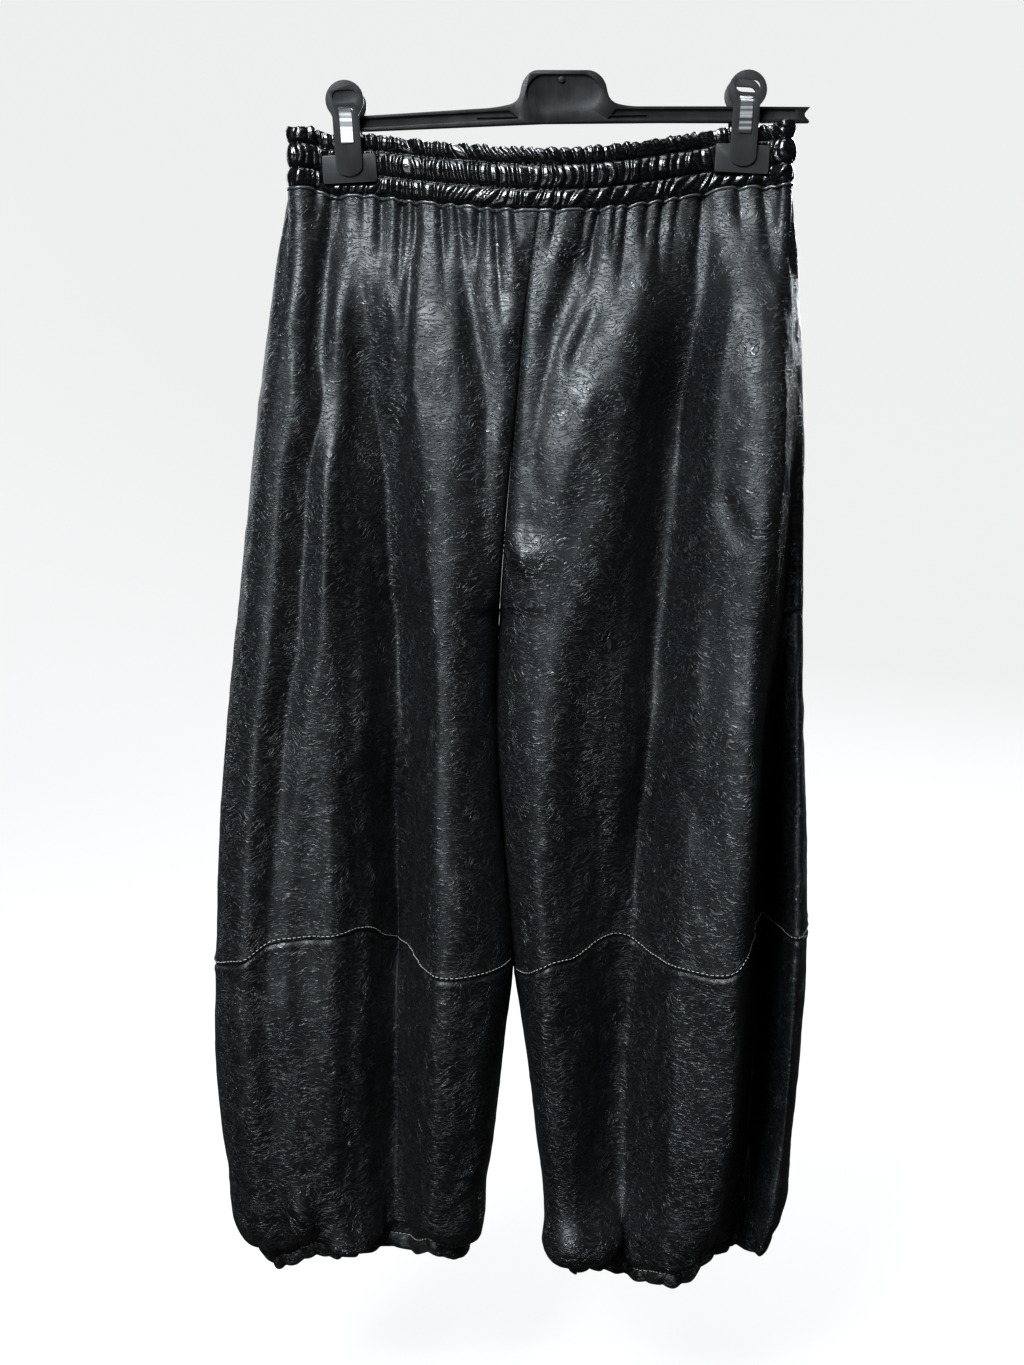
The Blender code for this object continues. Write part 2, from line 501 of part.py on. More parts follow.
def grid_normals(leg, front, back, heights):
    """Outward directions of a leg's front and back, equal on both sides of every seam."""
    whole = np.concatenate([front[:, ::-1], back], axis=1)
    across = np.empty_like(whole)
    across[:, 1:-1] = whole[:, 2:] - whole[:, :-2]
    seam = front.shape[1]
    over_seam = whole[:, seam + 1] - whole[:, seam - 2]
    across[:, seam - 1] = over_seam
    across[:, seam] = over_seam
    wrap = whole[:, 1] - whole[:, -2]
    across[:, 0] = wrap
    across[:, -1] = wrap
    down = np.gradient(whole, axis=0)
    normal = np.cross(down, across)
    sign = 1.0 if leg == "left" else -1.0
    normal *= sign
    inner = Vector((-1.0, 0.0, 0.0)) if leg == "left" else Vector((1.0, 0.0, 0.0))
    for row, z in enumerate(heights):
        if z > CROTCH_Z + 1e-6:
            turned = float(np.clip((TURN_START - z) / (TURN_START - CROTCH_Z), 0.0, 1.0)) ** 3
            normal[row, 0] = (0.0, turned - 1.0, -turned)
            normal[row, -1] = (0.0, 1.0 - turned, -turned)
        elif abs(z - CROTCH_Z) < 1e-6:
            normal[row, 0] = normal[row, -1] = inner + Vector((0.0, 0.0, -1.0))
    normal /= np.linalg.norm(normal, axis=2)[:, :, None]
    return normal[:, :seam][:, ::-1], normal[:, seam:]


def build_shell(name, outer, normals, thickness):
    """A closed wall between the outer points and the same points moved in by each row's thickness."""
    inner = outer - normals * np.asarray(thickness)[:, None, None]
    mesh = bmesh.new()
    sheets = [
        [[mesh.verts.new(point) for point in row] for row in sheet] for sheet in (outer, inner)
    ]
    rows, columns = outer.shape[:2]
    for sheet in sheets:
        for r in range(rows - 1):
            for c in range(columns - 1):
                mesh.faces.new((sheet[r][c], sheet[r + 1][c], sheet[r + 1][c + 1], sheet[r][c + 1]))
    edge = [(0, c) for c in range(columns)] + [(r, columns - 1) for r in range(1, rows)]
    edge += [(rows - 1, c) for c in range(columns - 2, -1, -1)] + [(r, 0) for r in range(rows - 2, 0, -1)]
    front, back = sheets
    for (r, c), (s, d) in zip(edge, edge[1:] + edge[:1]):
        mesh.faces.new((front[r][c], front[s][d], back[s][d], back[r][c]))
    return finish_mesh(mesh, name, "faux_leather")


def build_leg(leg):
    upper, lower = leg_rows(leg)
    heights = upper + lower
    grids = {face: panel_grid(leg, face, heights) for face in ("front", "back")}
    normals = grid_normals(leg, grids["front"], grids["back"], heights)
    thickness = [CLOTH] * (len(heights) - 2) + [HEM_THICK] * 2
    for (face, grid), outward in zip(grids.items(), normals):
        for level, rows in (("upper", slice(0, len(upper))), ("lower", slice(len(upper), None))):
            build_shell(f"{face}_{level}_{leg}", grid[rows], outward[rows], thickness[rows])


# ---------------------------------------------------------------- the hanger
def rounded(corners, steps=4):
    """The outline's points, with each corner turned into a short curve."""
    points = []
    for k, corner in enumerate(corners):
        here = Vector((corner.x, corner.z))
        before = Vector((corners[k - 1].x, corners[k - 1].z))
        after = Vector((corners[(k + 1) % len(corners)].x, corners[(k + 1) % len(corners)].z))
        cut = min(corner.radius, 0.48 * (before - here).length, 0.48 * (after - here).length)
        start = here + (before - here).normalized() * cut
        end = here + (after - here).normalized() * cut
        for step in range(steps + 1):
            t = step / steps
            points.append(start * (1 - t) ** 2 + here * 2 * t * (1 - t) + end * t * t)
    return points


def plate(name, points, low_y, high_y, finish="hanger_plastic"):
    """A flat outline in x and z, made solid between two depths."""
    mesh = bmesh.new()
    face = mesh.faces.new([mesh.verts.new((point[0], low_y, point[1])) for point in points])
    made = bmesh.ops.extrude_face_region(mesh, geom=[face])
    moved = [item for item in made["geom"] if isinstance(item, bmesh.types.BMVert)]
    bmesh.ops.translate(mesh, verts=moved, vec=(0.0, high_y - low_y, 0.0))
    return finish_mesh(mesh, name, finish)


def combine(obj, other, operation):
    """Applies one exact Boolean and removes the other object."""
    modifier = obj.modifiers.new(operation.title(), "BOOLEAN")
    modifier.operation = operation
    modifier.solver = "EXACT"
    modifier.object = other
    graph = bpy.context.evaluated_depsgraph_get()
    result = bpy.data.meshes.new_from_object(obj.evaluated_get(graph))
    obj.modifiers.clear()
    obj.data = result
    bpy.data.objects.remove(other)
    return obj


def build_hanger():
    half = BAR_DEPTH / 2
    hanger = plate("hanger", rounded(HANGER_OUTLINE), -half, half)
    for outline in (PLATE_RECESS, *ARM_RECESSES.values()):
        for face in (-1.0, 1.0):
            deep, past = sorted((face * (half - WEB_RECESS), face * (half + PAST)))
            combine(hanger, plate("cutter", rounded(outline), deep, past), "DIFFERENCE")
    return hanger


def build_hook_end():
    """The riveted end of the hook's shank, in the top of the plate's recess."""
    x, z = HOOK_END_AT
    front = -(BAR_DEPTH / 2 - WEB_RECESS) - SEAM_GAP
    mesh = bmesh.new()
    bmesh.ops.create_cone(
        mesh, cap_ends=True, segments=20, radius1=HOOK_END_RADIUS, radius2=HOOK_END_RADIUS * 0.8,
        depth=HOOK_END_DEPTH, matrix=Matrix.Translation((x, front - HOOK_END_DEPTH / 2, z))
        @ Matrix.Rotation(math.radians(90), 4, "X"),
    )
    return finish_mesh(mesh, "hook_end", "hanger_plastic")


# ---------------------------------------------------------------- the clips
def arc(centre_x, centre_z, radius, start, end, steps):
    """Points of an arc between two angles in degrees."""
    angles = [math.radians(start + (end - start) * k / steps) for k in range(steps + 1)]
    return [(centre_x + radius * math.cos(a), centre_z + radius * math.sin(a)) for a in angles]


def lever_outline():
    """The round head, the neck and the round foot."""
    meet = math.degrees(math.asin(NECK_HALF / HEAD_RADIUS))
    head = arc(0.0, HEAD_Z, HEAD_RADIUS, -90 + meet, 270 - meet, 22)
    foot_z = LEVER_FOOT + NECK_HALF * 0.75
    foot = [(x, foot_z + (z - foot_z) * 0.75) for x, z in arc(0.0, foot_z, NECK_HALF, 180, 360, 10)]
    return head + foot


def oblong(centre_z, half_width, half_height, steps=6):
    side = half_width - half_height
    right = arc(side, centre_z, half_height, -90, 90, steps)
    left = arc(-side, centre_z, half_height, 90, 270, steps)
    return right + left


def box_outline(half_width, low_z, high_z, radius):
    return rounded((
        Corner(-half_width, low_z, radius), Corner(half_width, low_z, radius),
        Corner(half_width, high_z, radius), Corner(-half_width, high_z, radius),
    ), 3)


def lever_place():
    """Leans the lever out from the jaw's outer face."""
    hinge = Matrix.Translation((0.0, -(JAW_INSIDE + JAW_THICK - LEVER_SUNK), 0.0))
    return hinge @ Matrix.Rotation(LEVER_LEAN, 4, "X")


def build_clip_half(clip, name):
    """One plastic half: jaw plate, leaning lever and the pad against the bar."""
    lever = plate(name, lever_outline(), -LEVER_THICK, 0.0, "clip_plastic")
    bottom = PAST if clip.window else WINDOW_RECESS - LEVER_THICK
    combine(lever, plate("cutter", oblong(*WINDOW), -LEVER_THICK - PAST, bottom), "DIFFERENCE")
    half_width, half_height = SLOT_HALF
    slot = box_outline(half_width, SPRING_Z[1] - half_height, SPRING_Z[1] + half_height, 0.0004)
    combine(lever, plate("cutter", slot, -LEVER_THICK - PAST, PAST), "DIFFERENCE")
    lever.data.transform(lever_place())
    jaw = plate("jaw", box_outline(JAW[0] / 2, -JAW[1] / 2, JAW[1] / 2, 0.002),
                -JAW_INSIDE - JAW_THICK, -JAW_INSIDE)
    combine(lever, jaw, "UNION")
    pad = plate("pad", box_outline(SEAT_HALF, *SEAT_Z, 0.0006), -SEAT_OUT, -BAR_DEPTH / 2 - SEAM_GAP)
    combine(lever, pad, "UNION")
    return lever


def build_clip_spring(name):
    """The steel strip: down both levers, and through them over the bar."""
    outer = LEVER_THICK + SPRING_THICK / 2 + SEAM_GAP
    foot = lever_place() @ Vector((0.0, -outer, SPRING_Z[0]))
    shoulder = lever_place() @ Vector((0.0, -outer, SPRING_Z[1] - SPRING_BEND))
    (bend_y, bend_up), (crown_y, crown_up) = SPRING_CROWN
    path = [(foot.y, foot.z), (shoulder.y, shoulder.z)]
    path += [(shoulder.y + bend_y, shoulder.z + bend_up), (crown_y, shoulder.z + crown_up)]
    path += [(-y, z) for y, z in reversed(path)]
    mesh = bmesh.new()
    sides = [[mesh.verts.new((x, y, z)) for y, z in path] for x in (-SPRING_HALF, SPRING_HALF)]
    for k in range(len(path) - 1):
        mesh.faces.new((sides[0][k], sides[1][k], sides[1][k + 1], sides[0][k + 1]))
    strip = finish_mesh(mesh, name, "spring_steel")
    wall = strip.modifiers.new("Solidify", "SOLIDIFY")
    wall.thickness = SPRING_THICK
    wall.offset = 0.0
    wall.use_even_offset = True
    return strip


def build_clip(clip):
    front = build_clip_half(clip, f"clip_{clip.side}_front")
    back = build_clip_half(clip, f"clip_{clip.side}_back")
    back.data.transform(Matrix.Rotation(math.radians(180), 4, "Z"))
    spring = build_clip_spring(f"clip_{clip.side}_spring")
    holder = bpy.data.objects.new(f"clip_{clip.side}", None)
    bpy.context.scene.collection.objects.link(holder)
    holder.location = (CLIP_X[clip.side], 0.0, clip.z)
    holder.rotation_euler = (0.0, -math.radians(clip.lean), 0.0)
    for piece in (front, back, spring):
        piece.parent = holder


def main():
    clear_scene()
    build_waistband()
    for leg in LEGS:
        build_leg(leg)
    build_hanger()
    build_hook_end()
    for clip in CLIPS:
        build_clip(clip)


main()
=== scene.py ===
"""Looks of the faux leather joggers on their clip hanger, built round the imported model.

Metres, +Z up, the front faces -Y. The origin is the middle of the top edge of the hanger's plate.
Sides are the wearer's, so the right leg is on -X.
"""

import itertools
import math
from collections import namedtuple

import bmesh
import bpy
import numpy as np
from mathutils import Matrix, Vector


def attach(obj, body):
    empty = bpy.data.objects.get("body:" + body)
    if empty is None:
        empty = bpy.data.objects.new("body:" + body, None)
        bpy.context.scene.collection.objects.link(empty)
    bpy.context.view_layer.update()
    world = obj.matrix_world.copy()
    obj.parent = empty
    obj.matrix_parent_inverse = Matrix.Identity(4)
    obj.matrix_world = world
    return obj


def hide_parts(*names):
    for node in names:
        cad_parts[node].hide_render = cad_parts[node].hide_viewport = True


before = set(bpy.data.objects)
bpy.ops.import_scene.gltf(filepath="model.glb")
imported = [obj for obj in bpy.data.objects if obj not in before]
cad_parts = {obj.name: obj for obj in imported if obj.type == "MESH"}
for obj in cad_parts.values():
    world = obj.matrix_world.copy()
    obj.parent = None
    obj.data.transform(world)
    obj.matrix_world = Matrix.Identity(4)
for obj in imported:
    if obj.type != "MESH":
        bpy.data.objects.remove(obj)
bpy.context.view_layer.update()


def in_mm(kind, *rows):
    """Table rows with named columns. All cells are lengths, written in millimetres and kept in metres."""
    return tuple(kind(*(length / 1000 for length in row)) for row in rows)


# ---- sizes, nearly all as in the CAD
CLOTH = 0.0012
HEM_DEPTH = 0.012
HEM_THICK = 0.0032
BAND_HALF = 0.0026
WAIST_DROP = 0.047
CALF_Z = -0.742
COLUMNS = 128

BAND_ENDS = (-0.2225, 0.1865)
CLIP_X = {"right": -0.1745, "left": 0.1465}
CLIP_FLAT = 0.0235
BAND_BOW = 0.0255
BAND_PUFF = 0.009
END_ROUND = 0.010
BandTop = namedtuple("BandTop", "x z")
BAND_TOPS = in_mm(
    BandTop,
    (-222.5, -45.5), (-206, -45.8), (-195, -49.2), (-155, -51), (-120, -56), (-85, -60.5), (-30, -65.2),
    (20, -64), (53, -60), (82, -55), (111, -49.5), (135, -45), (161, -43.4), (186.5, -41.6),
)
WAIST_SEAM_Z = -0.0925
WAIST_GAP = 0.0005

Section = namedtuple("Section", "z side inner side_y front_y back_y inner_y seam_in")
LEGS = {
    "right": in_mm(
        Section,
        (-95, -222.5, -20, 0, -28, 28, 0, 0),
        (-165, -237, -30, 0, -42, 38, 0, 0),
        (-260, -252, -38, 2, -53, 50, 0, 0),
        (-440, -274, -52, 4, -64, 60, 2, 0),
        (-520, -284, -54.7, 4, -68, 63, 3, 0),
        (-610, -293, -50, 4, -74, 67, 4, 0),
        (-742, -300, -39.6, 2, -84, 72, 4, 0),
        (-845, -301, -50.5, 0, -83, 70, 2, 0),
        (-940, -292.5, -62.5, 0, -72, 60, 0, 0),
        (-985, -283, -72.5, 0, -58, 49, 0, 0),
        (-1008, -270, -78, 0, -47, 40, 0, 0),
        (-1024, -260, -80, 0, -44, 37, 0, 0),
    ),
    "left": in_mm(
        Section,
        (-95, 186.5, -20, 0, -28, 28, 0, 0),
        (-165, 195, -30, 4, -44, 38, 0, 0),
        (-260, 202.5, -38, 8, -56, 50, 0, 0),
        (-440, 207, -52, 16, -66, 62, 2, 0),
        (-520, 210, -55.8, 22, -69, 67, 3, 16),
        (-610, 214, -51.4, 30, -73, 73, 4, 29),
        (-742, 220, -40.8, 42, -78, 82, 4, 37),
        (-845, 218, -28, 44, -77, 82, 2, 39),
        (-940, 211, -17, 42, -71, 74, 0, 38),
        (-990, 207, -8, 37, -63, 63, 0, 37),
        (-1016, 199, 2, 30, -53, 52, 0, 34),
        (-1034, 190, 8, 26, -49, 46, 0, 32),
    ),
}
HEM_Z = {"right": -1.020, "left": -1.032}
SeamPoint = namedtuple("SeamPoint", "x z")
# The calf seam, round from the side to the inner edge. It rises where the cloth folds in.
CALF_LINES = {
    ("right", "front"): in_mm(
        SeamPoint,
        (-300, -748), (-280, -737.5), (-264.4, -732), (-257.5, -726.6), (-241.7, -719), (-218.5, -717),
        (-194.1, -715), (-171, -714.5), (-162, -719), (-155, -730), (-145, -738), (-127.8, -740),
        (-100.2, -743), (-74.2, -743.8), (-44.5, -743.5),
    ),
    ("right", "back"): in_mm(
        SeamPoint,
        (-300, -748), (-260, -738), (-210, -727), (-170, -722), (-130, -735), (-90, -742), (-44.5, -743.5),
    ),
    ("left", "front"): in_mm(
        SeamPoint,
        (220, -721), (185, -724.5), (160, -721), (149.9, -727), (144, -734), (136, -738.1), (96.3, -737.6),
        (76.4, -737.2), (68, -734), (57, -728.5), (44.1, -726.4), (30.2, -729), (23.2, -732.4),
        (11.6, -736.5), (-7.8, -737.5), (-18.8, -743), (-28, -750.2), (-38, -754),
    ),
    ("left", "back"): in_mm(
        SeamPoint,
        (220, -721), (180, -730), (140, -739), (100, -727), (60, -736), (20, -745), (-38, -754),
    ),
}
# The bottom edge, round from the side to the inner edge.
HEM_LINES = {
    ("right", "front"): in_mm(
        SeamPoint,
        (-264, -1022), (-250, -1026.5), (-234, -1021.5), (-220, -1012), (-205.7, -1009), (-192.4, -1013.5),
        (-160, -1017.5), (-143.3, -1016), (-130, -1013.5), (-118.4, -1006), (-99.4, -1011.4),
        (-79, -1018.7),
    ),
    ("right", "back"): in_mm(
        SeamPoint,
        (-264, -1022), (-230, -1019), (-190, -1011), (-150, -1016), (-110, -1009), (-79, -1018.7),
    ),
    ("left", "front"): in_mm(
        SeamPoint,
        (190, -1012), (180, -1016), (168, -1018), (155, -1017), (144, -1013), (133.9, -1009),
        (121.8, -1016.6), (114.5, -1026), (103.5, -1032), (83.2, -1033.3), (73.4, -1039), (66, -1042.5),
        (52.6, -1042.5), (32.3, -1034), (8, -1031.5),
    ),
    ("left", "back"): in_mm(
        SeamPoint,
        (190, -1012), (170, -1017), (140, -1022), (100, -1034), (60, -1028), (8, -1031.5),
    ),
}
CROTCH_Z = -0.440
SEAM_Y = {"front": (-0.028, -0.036, -0.040, -0.040), "back": (0.028, 0.038, 0.046, 0.046)}
SEAM_Z = (-0.112, -0.180, -0.260, CROTCH_Z)
TURN_START = -0.250
SIDE_ROUND = 0.36
INNER_ROUND = 0.27
WALL_SHORT = 0.8
LEG_GAP = 0.0002

STATIONS = (-0.10, -0.26, -0.50, -0.742, -0.92, -1.02)  # the heights that the fold table's columns stand for
Fold = namedtuple("Fold", "number name sharp x depth outer inner")
fold_numbers = itertools.count()


def fold(name, sharp, x, depth, outer, inner):
    """A row of the fold table, in millimetres: its middle and depth at each station, and its half widths."""
    x, depth = np.array(x) / 1000, np.array(depth) / 1000
    return Fold(next(fold_numbers), name, sharp, x, depth, outer / 1000, inner / 1000)


PEAK_POWER = 1.5
# The CAD's folds, with the valleys' walls and the outer lobe shaped further to catch the light.
FOLDS = {
    ("right", "front"): (
        fold("outer fold", 0.40, (-190, -201, -226, -245, -245, -232), (6, 18, 15, 12, 10, 6), 24, 22),
        fold("outer hollow", 0.00, (-190, -200, -205, -214, -205, -190), (0, 6, 14, 28, 16, 8), 55, 60),
        fold("knee fold", 0.20, (-165, -172, -176, -177, -180, -180), (0, 3, 9, 10, 8, 3), 26, 16),
        fold("main valley", 0.30, (-172, -156, -142, -144, -144, -150), (2, 38, 64, 86, 62, 34), 52, 38),
        fold("valley shoulder", 0.00, (-172, -156, -142, -144, -144, -150), (0, 8, 14, 16, 12, 6), 30, 85),
        fold("upper valley", 0.65, (-121, -131.6, -142, -150, -150, -150), (6, 10, 3, 0, 0, 0), 24, 9),
        fold("short crease", 0.40, (-86, -65.5, -64, -64, -64, -64), (6, 7, 0, 0, 0, 0), 22, 20),
        fold("inner lobe", 0.00, (-105, -100, -95, -98, -110, -110), (0, -4, -8, -10, -6, 0), 35, 35),
    ),
    ("left", "front"): (
        fold("crotch drape", 0.65, (30, -20, -30, -30, -30, -30), (5, 5, 0, 0, 0, 0), 14, 22),
        fold("inner hollow", 0.00, (105, 90, 36, 27, 32, 36), (0, 2, 20, 40, 30, 14), 36, 50),
        fold("upper band", 0.65, (126, 101, 86, 70, 70, 70), (12, 36, 16, 0, 0, 0), 24, 56),
        fold("main valley", 0.30, (110, 94, 80, 62, 58, 56), (2, 10, 36, 60, 54, 30), 36, 50),
        fold("valley shoulder", 0.00, (110, 94, 80, 62, 58, 56), (2, 14, 18, 18, 14, 8), 100, 30),
        fold("outer lobe", 0.00, (164, 172, 166, 144, 134, 118), (-4, -26, -28, -16, -10, -4), 22, 80),
        fold("side valley", 0.50, (196, 200, 186, 183, 176, 158), (0, 0, 44, 108, 92, 46), 20, 34),
    ),
    ("right", "back"): (
        fold("outer fold", 0.40, (-185, -205, -228, -240, -236, -222), (4, 12, 18, 22, 18, 10), 18, 34),
        fold("seat fold", 0.40, (-132, -140, -158, -172, -170, -165), (6, 18, 30, 36, 30, 14), 50, 24),
        fold("inner fold", 0.40, (-70, -84, -102, -98, -106, -110), (5, 12, 16, 24, 18, 8), 20, 36),
    ),
    ("left", "back"): (
        fold("outer fold", 0.40, (150, 160, 158, 160, 152, 140), (4, 10, 16, 18, 18, 10), 22, 34),
        fold("seat fold", 0.40, (85, 96, 88, 92, 98, 95), (7, 20, 30, 34, 28, 14), 24, 50),
        fold("inner fold", 0.40, (30, 22, 16, 30, 36, 40), (4, 10, 22, 26, 16, 8), 34, 20),
    ),
}
FOLD_WANDER = 0.0035  # how far a fold's middle strays sideways
FOLD_SWELL = 0.14  # how much its depth varies
LIFT_START = -0.42

# ---- creases that only the looks have
# A crease runs down from the waist seam at x, or up from the hem, and drifts sideways.
# wide is half its width, and a negative depth is a ridge.
Gather = namedtuple("Gather", "x depth wide length drift")
GATHER_DEPTH = 0.90  # of the table's depths
GATHER_SKEW = 1.9  # how much wider a crease is on its +X side
GATHER_SPREAD = 1.4  # how much wider a crease gets along its length
HEM_PUCKER = 1.35  # of the table's depths, at the hem
PINCH_DROP = 0.55  # how far a panel's top edge drops in a crease, of the crease's depth
WAIST_GATHERS = {
    "front": in_mm(
        Gather,
        (-204, 3, 5, 40, -2), (-190, 6, 7.5, 190, -16), (-183.5, 3.5, 4, 60, -6), (-164, 3, 5, 50, 2),
        (-150, 6, 5.5, 85, 0), (-133, 7.8, 5, 110, -2), (-121.5, 6, 4, 70, 1), (-100, 7, 5.5, 120, 6),
        (-86, 4.5, 4.5, 60, 5), (-68, 6, 5, 90, -4), (-56, 7.4, 5.5, 130, 8), (-40, 3.8, 4, 50, 4),
        (-6, 5, 4.5, 50, -6), (18, 5.6, 5, 60, -8), (28.5, 8.2, 5.5, 110, -18), (42, 5, 4, 60, -4),
        (52, 7, 5.5, 120, -10), (69, 4.4, 4.5, 60, -4), (81.5, 7, 5, 110, -8), (95, 4, 5, 90, -10),
        (115, 6, 6, 130, -10), (144, 5, 5, 60, 4), (164, 5.6, 5.5, 90, 8), (175, 3, 4, 45, 2),
    ),
    "back": in_mm(
        Gather,
        (-201, 4, 8, 90, -6), (-186, 1.5, 7, 70, 0), (-169, 3, 7, 60, 2), (-154, 4.6, 8, 140, -8),
        (-138, 5, 8.5, 180, -6), (-123, 3, 6.5, 60, 3), (-108, 4.4, 8, 120, 4), (-93, 2.8, 6.5, 55, 0),
        (-77, 5, 8, 190, -10), (-61, 3.6, 7, 80, 4), (-46, 4.2, 7, 110, 8), (-33, 2.8, 5.5, 60, 2),
        (-7, 3.6, 6.5, 80, -4), (9, 4.6, 7.5, 140, -10), (26, 4.4, 8, 160, -6), (41, 2.8, 6.5, 60, 3),
        (57, 4, 7.5, 100, 0), (74, 3.4, 7, 80, 4), (90, 5.2, 8.5, 190, 4), (106, 3, 7, 70, -2),
        (121, 4.4, 8, 130, 6), (139, 2.8, 7, 60, 0), (154, 3.8, 7.5, 100, 6), (170, 3, 6.5, 70, 3),
    ),
}
HEM_GATHERS = {
    "front": in_mm(
        Gather,
        (-256, 4, 8, 50, -10), (-242, 6, 8.5, 75, -10), (-227, 5, 7.5, 60, -4), (-214, 5.2, 7.5, 55, 4),
        (-201, 4, 6.5, 45, 0), (-189, 5.2, 7.5, 60, 4), (-174, 4.6, 7, 50, 0), (-156, 6, 8.5, 90, 4),
        (-138, 5.6, 8, 80, -4), (-121, 3, 8, 45, 4), (-101, 2.6, 8, 40, 4), (-87, 2.4, 6, 35, 2),
        (4, 4, 8, 50, -6), (18, 5.6, 8, 70, 2), (30, 5, 7, 55, 6), (43, 5.6, 7.5, 65, 4),
        (57, 5.2, 7, 60, 2), (72, 4.6, 8, 60, 6), (88, 3.6, 8, 50, 8), (106, 5, 8.5, 80, 8),
        (124, 4.4, 8, 60, 4), (140, 5, 8, 60, 6), (156, 4.4, 7, 50, 4), (172, 4, 7, 50, 4),
    ),
    "back": in_mm(
        Gather,
        (-248, 5, 8.5, 70, -8), (-230, 4.6, 8, 55, 2), (-213, 5.6, 8, 75, 4), (-196, 4, 7.5, 50, 0),
        (-179, 5, 8, 65, 4), (-160, 5.4, 8.5, 80, -2), (-143, 4, 7.5, 55, 2), (-126, 5.2, 8, 70, 4),
        (-109, 4, 7.5, 50, 4), (-94, 3.4, 7, 45, 2), (12, 4.4, 8, 60, -4), (29, 5.2, 8.5, 75, 4),
        (46, 4, 7.5, 50, 0), (64, 5.4, 8.5, 80, 4), (82, 4.4, 7.5, 60, -2), (100, 5, 8, 65, 4),
        (118, 4, 7.5, 55, 0), (136, 5.4, 8.5, 75, 6), (153, 4, 7.5, 50, 4), (170, 4.4, 8, 60, 6),
    ),
}
# Small bulges at x and z. One that stands out by FULL_POLISH or more is rubbed fully shiny.
Bulge = namedtuple("Bulge", "x z out wide tall")
FULL_POLISH = 0.0050
BULGE_HOLD = 0.030  # a bulge fades out this near to a panel's side edges
BULGES = {
    "front": in_mm(
        Bulge,
        (-26, -395, 5.5, 15, 18), (-48, -165, 3, 10, 20), (-42, -210, 3, 9, 14), (-8, -150, 3.4, 11, 14),
        (14, -142, 2.4, 9, 12), (-125, -150, 2, 8, 16), (18, -270, 2.6, 13, 16), (-50, -300, 2.4, 12, 20),
        (19, -996, 25, 30, 20), (-223, -964, 13, 11, 24), (-186, -990, 17, 17, 12), (105, -1005, 4, 14, 10),
    ),
    "back": in_mm(
        Bulge,
        (-50, -370, 4.5, 16, 20), (40, -200, 3, 12, 18), (-170, -990, 5, 16, 12), (90, -1005, 5, 18, 12),
    ),
}
# Slanting creases, and ridges with a negative depth, each from one point to another.
Slant = namedtuple("Slant", "x0 z0 x1 z1 depth wide")
SLANTS = {
    "front": in_mm(
        Slant,
        (27, -112, -20, -240, 5.5, 9), (33, -176, -1, -255, 4.5, 8), (79, -115, 32, -270, -6, 18),
        (42, -225, -30, -395, -6, 17), (-8, -300, -27, -420, 3, 10), (123, -330, 156, -400, 3, 9),
        (90, -560, 125, -640, 2, 12), (-95, -640, -60, -730, -3, 12), (-119, -98, -140, -345, 4.2, 5),
        (-48, -96, -34, -225, -3.6, 11), (-42, -362, -30, -410, -3.6, 10), (-16, -110, 2, -155, -3, 10),
        (-88, -98, -66, -270, 3.6, 8), (-190, -100, -208, -290, 5, 8),
    ),
    "back": in_mm(
        Slant,
        (-60, -160, -10, -330, 4.5, 14), (45, -150, 0, -340, 5, 15), (-130, -240, -70, -400, -5, 18),
        (120, -260, 50, -420, -5, 18), (150, -460, 100, -600, 3.5, 14), (-220, -480, -160, -620, 3.5, 14),
    ),
}


# ---- curves that the tables are read along
def smoothstep(low, high, value):
    t = np.clip((value - low) / (high - low), 0.0, 1.0)
    return t * t * (3 - 2 * t)


def read_along(places, values, at):
    """A smooth line through the values at rising or falling places, read at one or many places."""
    way = 1.0 if places[-1] > places[0] else -1.0
    xs = way * np.asarray(places, float)
    ys = np.asarray(values, float)
    at = np.clip(way * np.asarray(at, float), xs[0], xs[-1])
    slopes = np.diff(ys) / np.diff(xs)
    tangents = np.concatenate([slopes[:1], (slopes[1:] + slopes[:-1]) / 2, slopes[-1:]])
    k = np.clip(np.searchsorted(xs, at) - 1, 0, len(xs) - 2)
    span = xs[k + 1] - xs[k]
    t = (at - xs[k]) / span
    start = ys[k] * (1 + 2 * t) * (1 - t) ** 2 + ys[k + 1] * t * t * (3 - 2 * t)
    return start + span * (tangents[k] * t * (1 - t) ** 2 - tangents[k + 1] * t * t * (1 - t))


def summed(steps):
    """The way run after each step, from 0."""
    return np.concatenate([[0.0], np.cumsum(steps)])


def rounding(share, power=2.3):
    """Rises from 0 with an upright start and reaches 1, flat, at share 1."""
    left = 1 - np.clip(share, 0.0, 1.0)
    return (1 - left**power) ** (1 / power)


def bump(distance, outer, inner, sharp):
    """A hill of height 1, from soft to peaked. distance is positive towards the garment's middle."""
    share = np.clip(np.abs(distance) / np.where(distance < 0, outer, inner), 0.0, 1.0)
    return (1 - sharp) * 0.5 * (1 + np.cos(np.pi * share)) + sharp * (1 - share) ** PEAK_POWER


def soft_noise(points, seed):
    """Smooth noise from -1 to 1. The points are in units of the noise's own grain."""
    cell = np.floor(points).astype(np.int64)
    t = points - cell
    t = t * t * (3 - 2 * t)
    total = 0.0
    for corner in itertools.product((0, 1), repeat=3):
        k = cell + np.array(corner)
        mixed = (k[..., 0] * 73856093) ^ (k[..., 1] * 19349663) ^ (k[..., 2] * 83492791) ^ (seed * 40503)
        mixed = (mixed ^ (mixed >> 13)) * 1274126177 & 0x7FFFFFFF
        value = ((mixed ^ (mixed >> 11)) % 65536) / 32767.5 - 1
        total = total + value * np.prod(np.where(corner, t, 1 - t), axis=-1)
    return total


